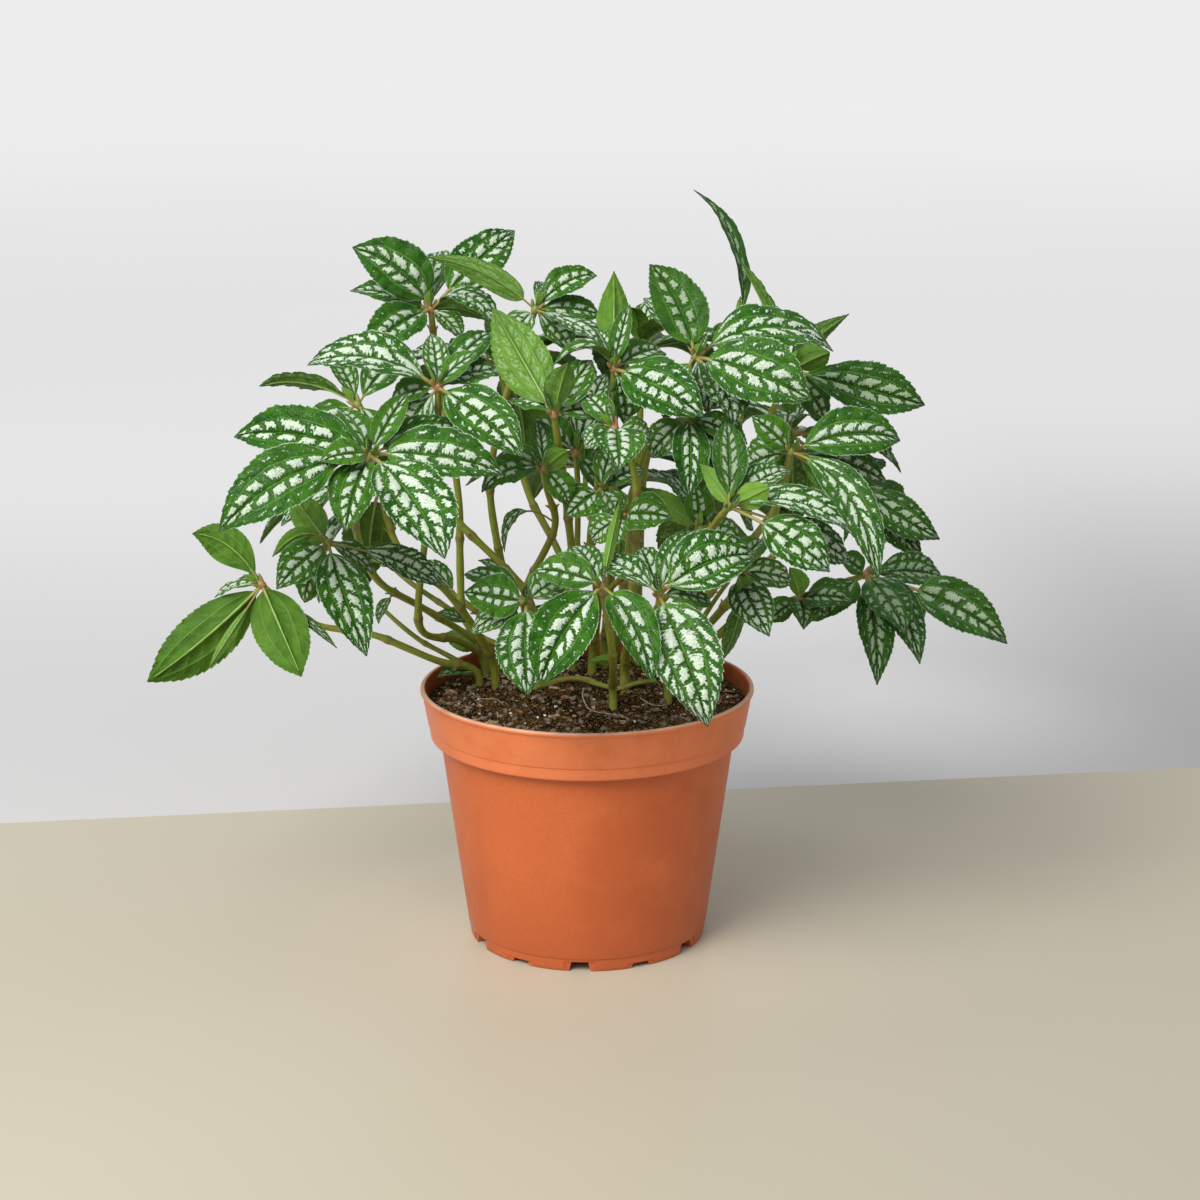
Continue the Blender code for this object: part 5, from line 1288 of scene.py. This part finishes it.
def stem_piece(name, ways, ends, small):
    rng = random.Random(int(name) * 613)
    piece = Sheet()
    for (path, low, high), end in zip(ways, ends):
        way = [p.copy() for p in path] + ([end] if end else [])
        if path is ways[0][0]:
            down = (way[0] - way[1]).normalized()
            way.insert(0, way[0] + Vector((down.x * 0.4, down.y * 0.4, -1)).normalized() * 9 * MM)
        way = smooth_path(way, 4)
        total = sum((b - a).length for a, b in zip(way, way[1:]))
        joints, at = [], rng.uniform(0.016, 0.03)
        while at < total - 0.006:
            joints.append(at)
            at += rng.uniform(0.020, 0.038)
        fine_tube(piece, way, low * 0.92, high * 0.95, rng, joints)
        walk = 0.0
        for a, b in zip(way, way[1:]):
            step = (b - a).length
            for j in joints:
                if walk <= j < walk + step and j > 0.02 and rng.random() < 0.6:
                    scale_leaf(piece, a + (b - a) * ((j - walk) / step), (b - a).normalized(), rng)
            walk += step
    for one in small:
        look = look_of(name, "stem", one, rng)
        look["young"] = max(look["young"], 0.35)
        fine_leaf(piece, one, rng, 8, 5, look, (2, 3, 4))
    return finish_piece(piece, "shoot_" + name, [STEM, NODE, TOP, BELOW, PETIOLE], ("stem", "ring", "vary", "mood"), 70)


# ------------------------------------------------------------------------------------------ plant

placed = Placed()
placed.add("pot", pot_guard())
PATHS = lay_out_stems(placed)
SMALL = lay_out_stem_leaves(placed, PATHS)
LEAVES = lay_out_leaves(placed)
WAY_TO = {}
for stem_name, ways in PATHS.items():
    ends = [STEMS[stem_name][2]] + [b[2] for b in STEMS[stem_name][3]]
    for way, shoot in zip(ways, ends):
        WAY_TO[shoot] = way[0]
    ends = [sheet(*SHOOTS[shoot][0]) for shoot in ends]
    piece = stem_piece(stem_name, ways, ends + [None] * (len(ways) - len(ends)), SMALL[stem_name])
    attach(piece, "root")
    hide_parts("stem_" + stem_name)
for shoot, (node, _) in SHOOTS.items():
    piece = rosette(shoot, node, LEAVES[shoot], WAY_TO[shoot])
    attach(piece, "root")
    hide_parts("leaves_" + shoot)

# ------------------------------------------------------------------------------------------ pot


def pot_material(inside):
    n = Nodes("pot_inside" if inside else "pot_plastic")
    place = n.place()
    z = n.split(place)[2]
    wide = n.noise(place, 9.0, 3.0)
    fine = n.noise(place, 900.0, 2.0)
    mid = n.noise(place, 70.0, 4.0, 0.6)
    colour = n.mix(n.ramp(wide, 0.3, 0.7), (0.575, 0.130, 0.035), (0.635, 0.150, 0.045))
    colour = n.mix(n.mul(n.ramp(n.noise(place, 14.0, 4.0, 0.6), 0.46, 0.64), 0.48), colour, (0.44, 0.082, 0.020))
    colour = n.mix(n.mul(n.ramp(mid, 0.55, 0.75), 0.15), colour, (0.68, 0.18, 0.055))
    colour = n.mix(n.mul(n.ramp(fine, 0.40, 0.65), 0.22), colour, (0.42, 0.082, 0.020))
    if inside:  # dusted with soil
        colour = n.mix(n.mul(n.ramp(z, 0.122, 0.112), n.ramp(mid, 0.30, 0.62, 0.25, 0.85)), colour, (0.13, 0.06, 0.03))
    else:  # painted light: the band lighter and paler as a painted highlight, the foot darker as painted shade, the rim's top edge pale, partly rubbed and partly a painted highlight
        # Painted highlight: the band made lighter and paler.
        colour = n.mix(n.mul(n.ramp(z, (BAND_LOW_Z - 1) * MM, (BAND_LOW_Z + 1) * MM), n.ramp(mid, 0.3, 0.6, 0.32, 0.55)), colour, (0.86, 0.255, 0.100))
        # Painted shade: the lower body darker toward the foot.
        colour = n.mix(n.mul(n.ramp(z, 0.062, 0.006), 0.42), colour, (0.36, 0.072, 0.018))
        # The rim's top edge made pale: partly rubbed plastic, partly a painted highlight.
        rim = n.mul(n.ramp(z, (RIM_TOP - 0.75) * MM, (RIM_TOP - 0.2) * MM), n.ramp(mid, 0.25, 0.6, 0.45, 1.0))
        colour = n.mix(n.mul(rim, 0.75), colour, (0.74, 0.55, 0.40))
    n.set(Base_Color=colour)
    n.set(Specular_IOR_Level=0.36)
    n.set(Roughness=n.ramp(mid, 0.3, 0.75, 0.36, 0.50))
    n.set(Normal=n.bump(n.add(fine, n.mul(mid, 0.6)), 0.00012, 0.7))
    return n.material


def turned_solid(outline_, steps):
    """Points and faces of a closed solid of revolution; the outline starts and ends on the axis or meets itself."""
    ring = [[(r * math.cos(a), r * math.sin(a), z) for r, z in outline_] for a in (math.tau * i / steps for i in range(steps))]
    points = [tuple(c * MM for c in p) for row in ring for p in row]
    n = len(outline_)
    faces = []
    for i in range(steps):
        j = (i + 1) % steps
        for k in range(n):
            m = (k + 1) % n
            faces.append([i * n + k, j * n + k, j * n + m, i * n + m])
    return points, faces


def pot_outline():
    """The pot's section with its rounded lip, groove, band and shoulder, in millimetres."""
    band = (BAND_TOP_R - BAND_LOW_R) / (RIM_TOP - LIP_TALL - BAND_LOW_Z)
    groove = BAND_LOW_Z + GROOVE_UP

    def band_r(z):
        return BAND_LOW_R + band * (z - BAND_LOW_Z)

    out = []
    # The lip is a bead of LIP_TALL, rounded over the top.
    for k in range(5):
        a = math.radians(90 - 30 * k)
        out.append((RIM_R - 1.0 + 1.0 * max(math.cos(a), 0.0) if k < 4 else RIM_R + 0.0, RIM_TOP - 1.0 + 1.0 * math.sin(a) if k < 4 else RIM_TOP - 1.0 - (k - 3) * 0.35))
    z = RIM_TOP - LIP_TALL
    out += [(RIM_R - 0.1, z + 0.15), (RIM_R - 0.55, z - 0.15), (band_r(z - 0.6) + 0.15, z - 0.45), (band_r(z - 1.6), z - 1.6)]
    for f in (0.25, 0.5, 0.75):
        zz = z - 1.6 + (groove + 1.0 - z + 1.6) * f
        out.append((band_r(zz), zz))
    out += [(band_r(groove + 0.5), groove + 0.5), (band_r(groove + 0.16) - 0.03, groove + 0.16), (band_r(groove) - 0.22, groove + 0.02), (band_r(groove) - 0.5, groove - 0.05), (band_r(groove) - 0.54, groove - 0.4)]
    out += [(BAND_LOW_R + 0.25, BAND_LOW_Z + 2.6), (BAND_LOW_R + 0.08, BAND_LOW_Z + 0.8), (BAND_LOW_R - 0.02, BAND_LOW_Z + 0.3), (BAND_LOW_R - 0.22, BAND_LOW_Z - 0.05), (BAND_LOW_R - 0.6, BAND_LOW_Z - 0.35)]
    out += [(BODY_TOP_R + 0.5, BODY_TOP_Z), (BODY_TOP_R + 0.12, BODY_TOP_Z - 0.15), (BODY_TOP_R, BODY_TOP_Z - 0.6)]
    for f in (0.15, 0.35, 0.55, 0.75, 0.9):
        out.append((BODY_TOP_R + (BODY_LOW_R - BODY_TOP_R) * f, BODY_TOP_Z - 0.6 + (FOOT_TALL + 0.4 - BODY_TOP_Z + 0.6) * f))
    out += [(BODY_LOW_R, FOOT_TALL + 0.4), (BODY_LOW_R - 0.1, FOOT_TALL + 0.1), (FOOT_R + 0.05, FOOT_TALL - 0.25), (FOOT_R, FOOT_TALL - 0.7), (FOOT_R - 0.2, 2.0), (FOOT_R - 0.4, 0.5), (FOOT_R - 0.7, 0.0)]
    out += [(FOOT_R - FOOT_RING + 0.1, 0.0), (FOOT_R - 0.4 - FOOT_RING, 0.4), (FOOT_R - 0.8 - FOOT_RING, BASE_UNDER), (30.0, BASE_UNDER), (6.0, BASE_UNDER), (0.0, BASE_UNDER)]
    out += [(0.0, BASE_UNDER + BASE_THICK), (30.0, BASE_UNDER + BASE_THICK), (BODY_LOW_R - WALL - 1.0, BASE_UNDER + BASE_THICK), (BODY_LOW_R - WALL, BASE_UNDER + BASE_THICK + 1.0)]
    out += [(BODY_TOP_R - WALL, BODY_TOP_Z + 1.2), (BAND_LOW_R - WALL, BAND_LOW_Z + 2.2), (BAND_TOP_R - WALL, RIM_TOP - LIP_TALL), (RIM_R - 2.45, RIM_TOP - 1.2), (RIM_R - 2.3, RIM_TOP - 0.4), (RIM_R - 1.9, RIM_TOP)]
    return out


def make_pot():
    outline_ = pot_outline()
    points, faces = turned_solid(outline_, 216)
    bm = bmesh.new()
    made = [bm.verts.new(p) for p in points]
    for f in faces:
        try:
            bm.faces.new([made[i] for i in f])
        except ValueError:
            continue
    bmesh.ops.remove_doubles(bm, verts=bm.verts[:], dist=1e-6)
    bmesh.ops.dissolve_degenerate(bm, edges=bm.edges[:], dist=1e-7)
    bmesh.ops.recalc_face_normals(bm, faces=bm.faces[:])
    mesh = bpy.data.meshes.new("pot_raw")
    bm.to_mesh(mesh)
    bm.free()
    raw = link(bpy.data.objects.new("pot_raw", mesh))
    cutters = []

    def cut(points_, faces_):
        bm = bmesh.new()
        vs = [bm.verts.new(p) for p in points_]
        for f in faces_:
            bm.faces.new([vs[i] for i in f])
        bmesh.ops.recalc_face_normals(bm, faces=bm.faces[:])
        m = bpy.data.meshes.new("cut")
        bm.to_mesh(m)
        bm.free()
        cutters.append(link(bpy.data.objects.new("cut", m)))
        mod = raw.modifiers.new("cut", "BOOLEAN")
        mod.solver = "EXACT"
        mod.object = cutters[-1]

    for i in range(6):
        a = math.tau * (i + 0.5) / 6
        x, y = DRAIN_AT * math.cos(a), DRAIN_AT * math.sin(a)
        rings = [[Vector((x + DRAIN_R * math.cos(b), y + DRAIN_R * math.sin(b), z)) * MM for b in (math.tau * j / 24 for j in range(24))] for z in (-1.0, BASE_UNDER + BASE_THICK + 1.0)]
        cut(*loft(rings))
    for i in range(12):
        a = -math.pi / 2 - 0.06 + math.tau * i / 12
        along, across = Vector((math.cos(a), math.sin(a), 0)), Vector((-math.sin(a), math.cos(a), 0))
        deep = NOTCH_LOW if i % 2 else NOTCH_TALL
        for r0, r1, low, high, tall in ((FOOT_R - FOOT_RING - 4.0, FOOT_R + 3.0, NOTCH_WIDE / 2, NOTCH_WIDE / 2 - 1.4, deep), (FOOT_R - 0.95, FOOT_R + 3.0, NOTCH_WIDE / 2 + 2.6, NOTCH_WIDE / 2 + 1.6, deep + 0.6)):
            rings = []
            for r in (r0, r1):
                rings.append([(along * r + across * w + Vector((0, 0, z))) * MM for w, z in ((-low, -1.0), (low, -1.0), (high, tall), (-high, tall))])
            cut(*loft(rings))
    graph = bpy.context.evaluated_depsgraph_get()
    graph.update()
    mesh = bpy.data.meshes.new_from_object(raw.evaluated_get(graph))
    for o in cutters + [raw]:
        bpy.data.objects.remove(o)
    mesh.name = "nursery_pot"

    for v in mesh.vertices:
        v.co += SHIFT
    mesh.materials.clear()
    mesh.materials.append(pot_material(False))
    mesh.materials.append(pot_material(True))
    for face in mesh.polygons:
        out = Vector((face.center.x - SHIFT.x, face.center.y - SHIFT.y, 0)).normalized()
        face.material_index = int(face.center.z > (BASE_UNDER + 1) * MM and (face.normal.dot(out) < -0.3 or (face.normal.z > 0.5 and face.center.z < 0.02)))
    mesh.polygons.foreach_set("use_smooth", np.ones(len(mesh.polygons), bool))
    mesh.set_sharp_from_angle(angle=math.radians(38))
    return link(bpy.data.objects.new("nursery_pot", mesh))


pot = make_pot()
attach(pot, "root")
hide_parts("pot")

# ------------------------------------------------------------------------------------------ soil


def soil_material():
    n = Nodes("potting_soil")
    place = n.place()
    crumbs = n.cells(place, 900.0)
    fine = n.noise(place, 1300.0, 3.0, 0.7)
    wide = n.noise(place, 90.0, 4.0, 0.6)
    fleck = n.cells(place, 420.0)
    colour = n.mix(n.ramp(wide, 0.38, 0.66), (0.016, 0.009, 0.002), (0.14, 0.078, 0.026))
    colour = n.mix(n.ramp(fine, 0.51, 0.66), colour, (0.47, 0.285, 0.125))
    colour = n.mix(n.ramp(fine, 0.47, 0.38), colour, (0.008, 0.004, 0.001))
    one = n.tree.nodes.new("ShaderNodeSeparateColor")
    n.put(one.inputs[0], fleck["Color"])
    pick = n.mul(n.ramp(one.outputs[0], 0.86, 0.89), n.ramp(fleck["Distance"], 0.36, 0.2))
    colour = n.mix(n.mul(pick, 0.85), colour, (0.60, 0.37, 0.19))
    white = n.mul(n.ramp(one.outputs[1], 0.955, 0.97), n.ramp(fleck["Distance"], 0.28, 0.15))
    colour = n.mix(white, colour, (0.80, 0.76, 0.66))
    n.set(Specular_IOR_Level=0.04)
    n.set(Base_Color=colour)
    n.set(Roughness=n.ramp(fine, 0.3, 0.7, 0.82, 0.98))
    n.set(Normal=n.bump(n.add(n.add(fine, n.mul(crumbs["Distance"], 0.8)), n.mul(wide, 0.8)), 0.0012, 1.0))
    return n.material


def bark_material():
    n = Nodes("bark_chip")
    place = n.place()
    grain = n.noise(place, 500.0, 4.0, 0.65)
    wide = n.noise(place, 60.0, 2.0)
    colour = n.mix(n.ramp(wide, 0.35, 0.65), (0.30, 0.15, 0.07), (0.70, 0.45, 0.26))
    n.set(Base_Color=n.mix(n.ramp(grain, 0.45, 0.7), colour, (0.08, 0.04, 0.022)))
    n.set(Roughness=n.ramp(grain, 0.3, 0.7, 0.75, 0.95))
    n.set(Normal=n.bump(grain, 0.0006, 0.9))
    return n.material


def perlite_material():
    n = Nodes("perlite")
    grain = n.noise(n.place(), 1400.0, 3.0)
    n.set(Base_Color=n.mix(n.ramp(grain, 0.35, 0.65), (0.66, 0.60, 0.50), (0.88, 0.85, 0.78)))
    n.set(Roughness=n.ramp(grain, 0.3, 0.7, 0.8, 0.95))
    n.set(Normal=n.bump(grain, 0.0005, 0.9))
    return n.material


def crumb_height(x, y):
    """The soil's top in metres, with its crumbs, for x and y in millimetres from the pot's axis."""
    p = Vector((x, y, 0))
    lump = noise.fractal(p * 0.13, 1.0, 2.0, 4) * 1.4 + noise.fractal(p * 0.55 + Vector((7, 3, 1)), 1.0, 2.0, 4) * 1.3
    crumb = (0.5 - noise.voronoi(p * 0.5)[0][0]) * 0.8 + (0.5 - noise.voronoi(p * 1.1)[0][0]) * 0.6
    r = math.hypot(x, y)
    wall = inner_radius(SOIL_EDGE_Z)
    fade = min(1.0, max(0.0, (wall + 0.5 - r) / 8.0))
    return (soil_height(x, y) + (lump + crumb) * (0.35 + 0.65 * fade)) * MM


def make_soil():
    wall = inner_radius(SOIL_EDGE_Z) - 0.02
    rings, around = 78, 260
    points, flat = [], []
    radii = [wall * math.sqrt(k / rings) if k > 8 else wall * math.sqrt(8 / rings) * k / 8 for k in range(rings + 1)]
    faces = []
    points.append((0, 0, crumb_height(0, 0)))
    flat.append((0.5, 0.5))
    for k, r in enumerate(radii[1:], 1):
        for i in range(around):
            a = math.tau * (i + (k % 2) * 0.5) / around
            jit = 0.35 if 2 < k < rings else 0.0
            j1 = noise.noise(Vector((k * 1.7, i * 2.3, 0.5))) * jit
            rr = r + j1
            x, y = rr * math.cos(a), rr * math.sin(a)
            points.append((x * MM, y * MM, crumb_height(x, y)))
            flat.append((0.5 + 0.47 * x / wall, 0.5 + 0.47 * y / wall))
    start = lambda k: 1 + (k - 1) * around
    for i in range(around):
        faces.append([0, start(1) + i, start(1) + (i + 1) % around])
    for k in range(1, rings):
        a, b = start(k), start(k + 1)
        shift = k % 2
        for i in range(around):
            j = (i + 1) % around
            if shift:
                faces += [[a + i, b + j, a + j], [a + i, b + i, b + j]]
                faces[-2:] = [[a + i, b + j, a + j], [a + i, b + i, b + j]]
            else:
                faces += [[a + i, b + i, a + j], [b + i, b + j, a + j]]
    # Skirt and base inside the pot.
    for drop, r in ((8.0, inner_radius(SOIL_EDGE_Z - 8.0) - 0.02),):
        base = len(points)
        for i in range(around):
            a = math.tau * i / around
            points.append((r * MM * math.cos(a), r * MM * math.sin(a), (SOIL_EDGE_Z - drop) * MM))
            flat.append((0.5 + 0.49 * math.cos(a), 0.5 + 0.49 * math.sin(a)))
        last = start(rings)
        for i in range(around):
            j = (i + 1) % around
            faces.append([last + i, base + i, base + j, last + j])
    points.append((0, 0, (SOIL_EDGE_Z - 8.0) * MM))
    flat.append((0.5, 0.5))
    for i in range(around):
        faces.append([len(points) - 1, base + (i + 1) % around, base + i])
    return build("potting_soil", points, faces, [soil_material()], None, {"OFBake": flat}, 180)


soil = make_soil()
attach(soil, "root")
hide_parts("soil")


def lump_at(points, faces, flat, slots, x, y, size, stretch, rng, slot, cell, cells, steps=1, sink=0.35):
    """Adds an uneven closed lump that sits on the soil."""
    bm = bmesh.new()
    bmesh.ops.create_icosphere(bm, subdivisions=steps, radius=1.0)
    bm.verts.index_update()
    turn = rng.uniform(0, math.tau)
    tilt = rng.uniform(-0.5, 0.5)
    base = len(points)
    top = crumb_height(x, y)
    seed = Vector((rng.uniform(0, 50), rng.uniform(0, 50), rng.uniform(0, 50)))
    col, row = cell % cells, cell // cells
    for v in bm.verts:
        c = v.co * (1 + 0.85 * noise.noise(v.co * 1.6 + seed))
        flat.append(((col + 0.5 + v.co.x * 0.42) / cells, (row + 0.5 + v.co.y * 0.42) / cells))
        c = Vector((c.x * stretch[0], c.y * stretch[1], c.z * stretch[2])) * size
        c = Vector((c.x, c.y * math.cos(tilt) - c.z * math.sin(tilt), c.y * math.sin(tilt) + c.z * math.cos(tilt)))
        c = Vector((c.x * math.cos(turn) - c.y * math.sin(turn), c.x * math.sin(turn) + c.y * math.cos(turn), c.z))
        points.append((x * MM + c.x, y * MM + c.y, top + c.z + size * stretch[2] * sink))
    for f in bm.faces:
        faces.append([base + v.index for v in f.verts])
        slots.append(slot)
    bm.free()


def make_bits():
    rng = random.Random(41)
    points, faces, flat, slots = [], [], [], []
    cells = 30
    count = 0

    def spot(limit=71.0):
        while True:
            x, y = rng.uniform(-limit, limit), rng.uniform(-limit, limit)
            if math.hypot(x, y) < limit:
                return x, y

    for _ in range(560):  # soil crumbs
        x, y = spot(72.0)
        lump_at(points, faces, flat, slots, x, y, rng.uniform(0.7, 1.9) * MM, (1, rng.uniform(0.6, 1), rng.uniform(0.5, 0.9)), rng, 0, count, cells, 1, 0.2)
        count += 1
    for _ in range(190):  # bark
        x, y = spot(71.0)
        lump_at(points, faces, flat, slots, x, y, rng.uniform(0.9, 2.6) * MM, (1, rng.uniform(0.35, 0.7), rng.uniform(0.18, 0.4)), rng, 1, count, cells, 1, 0.5)
        count += 1
    for _ in range(110):  # perlite
        x, y = spot(72.0)
        lump_at(points, faces, flat, slots, x, y, rng.uniform(0.45, 0.95) * MM, (1, 0.9, 0.8), rng, 2, count, cells, 1, 0.4)
        count += 1
    for (u, v), size in (((492, 720), 4.4), ((474, 717), 3.2), ((510, 722), 3.0), ((505, 681), 3.0), ((520, 684), 2.4), ((612, 712), 3.0), ((622, 716), 2.4), ((640, 683), 3.4), ((450, 690), 3.4), ((545, 672), 2.6), ((575, 676), 3.4), ((598, 668), 3.2), ((716, 700), 2.6), ((728, 690), 2.4)):
        p = sheet_on_soil(u, v) / MM
        lump_at(points, faces, flat, slots, p.x, p.y, size * MM, (1, rng.uniform(0.4, 0.6), rng.uniform(0.2, 0.32)), rng, 1, count, cells, 2, 0.8)
        count += 1
    return build("soil_bits", points, faces, [bpy.data.materials["potting_soil"], bark_material(), perlite_material()], slots, {"OFBake": flat}, 50)


bits = make_bits()
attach(bits, "root")


def root_material():
    n = Nodes("root_thread")
    grain = n.noise(n.place(), 700.0, 3.0)
    n.set(Base_Color=n.mix(n.ramp(grain, 0.35, 0.65), (0.44, 0.33, 0.22), (0.66, 0.56, 0.44)))
    n.set(Roughness=n.ramp(grain, 0.3, 0.7, 0.55, 0.75))
    n.set(Normal=n.bump(grain, 0.0002, 0.6))
    return n.material


def lying(points, lift):
    out = []
    for u, v in points:
        p = sheet_on_soil(u, v)
        out.append(Vector((p.x, p.y, crumb_height(p.x / MM, p.y / MM) + lift)))
    return out


piece = Sheet()
rng = random.Random(5)
runner = smooth_path(lying([(535, 690), (552, 686), (568, 684), (585, 686), (600, 690), (618, 691), (634, 689), (655, 685)], 2.2 * MM), 4)
fine_tube(piece, runner, 1.5 * MM, 1.15 * MM, rng, [0.012, 0.031, 0.049])
runner = finish_piece(piece, "runner", [STEM, NODE], ("stem", "ring", "vary", "mood"), 70)
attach(runner, "root")
piece = Sheet()
for line_points, thick in (([(584, 690), (582, 697), (585, 705), (589, 711), (597, 713), (610, 713), (622, 716)], 0.32), ([(470, 690), (482, 698), (495, 700), (503, 706)], 0.22), ([(640, 700), (655, 706), (668, 703)], 0.24)):
    fine_tube(piece, smooth_path(lying(line_points, 0.9 * MM), 4), thick * MM, thick * 0.6 * MM, rng, [], 6)
threads = finish_piece(piece, "root_threads", [root_material()], ("stem", "ring", "vary", "mood"), 70)
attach(threads, "root")

# ------------------------------------------------------------------------------------------ stage, light, camera


def floor_point(u, v):
    c, s = math.cos(EYE_TILT), math.sin(EYE_TILT)
    ray = Vector((u - SHEET_MID, EYE_SCALE * c + (SHEET_MID - v) * s, -EYE_SCALE * s + (SHEET_MID - v) * c))
    p = EYE + ray * (-EYE.z / ray.z)
    return Vector((p.x, p.y, 0))


def plain(name, low, high, scale, roughness):
    n = Nodes(name)
    tone = n.noise(n.place(), scale, 2.0)
    n.set(Base_Color=n.mix(n.ramp(tone, 0.3, 0.7), low, high))
    n.set(Roughness=roughness)
    return n


table = plain("pale_table", (0.55, 0.505, 0.385), (0.565, 0.52, 0.40), 3.0, 0.42)
table.shader.inputs["Specular IOR Level"].default_value = 0.30
ground = plain("pale_ground", (0.925, 0.92, 0.91), (0.935, 0.93, 0.92), 1.0, 1.0)
ground.shader.inputs["Specular IOR Level"].default_value = 0.0
# Painted light in the floor's colour: it falls off to the right and toward the table as painted shade, and is painted
# lighter beside the pot to lift the shade there.
for n in (table, ground):
    x, y, _ = n.split(n.place())
    middle = (0.05, 0.03) if n is table else (0.20, 0.30)
    away = n.math("SQRT", n.add(n.math("POWER", n.sub(x, middle[0]), 2.0), n.math("POWER", n.sub(y, middle[1]), 2.0)))
    if n is table:
        painted_light = n.mul(n.ramp(x, -0.20, 0.25, 0.94, 0.84), n.ramp(away, 0.06, 0.22, 1.15, 1.0))
    else:
        painted_light = n.mul(n.ramp(y, 0.20, 1.10, 0.65, 0.86), n.ramp(y, 1.1, 5.0, 1.0, 1.14))
        painted_light = n.mul(painted_light, n.sub(1.0, n.mul(n.mul(n.ramp(x, 0.15, 0.42), n.ramp(y, 1.5, 0.2)), 0.36)))
        painted_light = n.mul(painted_light, n.ramp(away, 0.02, 0.17, 1.20, 1.0))
    colour = n.shader.inputs["Base Color"].links[0].from_socket
    scaled = n.tree.nodes.new("ShaderNodeVectorMath")
    scaled.operation = "SCALE"
    n.put(scaled.inputs[0], colour)
    n.put(scaled.inputs["Scale"], painted_light)
    n.set(Base_Color=scaled.outputs[0])
left, right = floor_point(0, 823), floor_point(1200, 767)
slope = (right.y - left.y) / (right.x - left.x)
y_at = lambda x: left.y + slope * (x - left.x)
corners = [(-6, -8, 0), (6, -8, 0), (6, y_at(6), 0), (-6, y_at(-6), 0), (40, 60, -0.0), (-40, 60, 0), (-40, y_at(-40), 0), (40, y_at(40), 0), (-40, -8, 0), (40, -8, 0)]
floor = build("floor", corners, [[0, 1, 2, 3], [6, 3, 2, 7, 4, 5], [8, 0, 3, 6], [1, 9, 7, 2]], [table.material, ground.material], [0, 1, 0, 0])
floor.location.z = -0.0002

world = bpy.data.worlds.new("studio")
bpy.context.scene.world = world
world.use_nodes = True
world.node_tree.nodes["Background"].inputs["Color"].default_value = (0.95, 0.96, 1.0, 1)
world.node_tree.nodes["Background"].inputs["Strength"].default_value = 0.60


def area(name, at, to, size, power, colour=(1, 1, 1)):
    lamp = bpy.data.lights.new(name, "AREA")
    lamp.shape = "RECTANGLE"
    lamp.size, lamp.size_y = size
    lamp.energy = power
    lamp.color = colour
    obj = link(bpy.data.objects.new(name, lamp))
    obj.location = at
    obj.rotation_euler = (Vector(to) - Vector(at)).to_track_quat("-Z", "Y").to_euler()
    return obj


sun = bpy.data.lights.new("key", "SUN")
sun.energy = 1.6
sun.angle = math.radians(44)
sun.color = (1.0, 0.985, 0.96)
lamp = link(bpy.data.objects.new("key", sun))
lamp.rotation_euler = (Vector((0, 0, 0)) - Vector((-0.75, -1.0, 1.25))).to_track_quat("-Z", "Y").to_euler()
area("front", (-0.50, -0.80, 0.95), (0, 0, 0.22), (0.5, 0.5), 7.5, (1.0, 0.99, 0.97))

camera_data = bpy.data.cameras.new("camera")
camera_data.sensor_width = 36.0
camera_data.lens = EYE_SCALE * 36.0 / 1200.0
camera = link(bpy.data.objects.new("camera", camera_data))
camera.location = EYE + SHIFT
camera.rotation_euler = (math.pi / 2 - EYE_TILT, 0, 0)
bpy.context.scene.camera = camera
bpy.context.scene.view_settings.view_transform = "Standard"

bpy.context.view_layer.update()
total = 0
for o in bpy.data.objects:
    if o.type == "MESH" and not o.hide_render:
        o.data.calc_loop_triangles()
        total += len(o.data.loop_triangles)
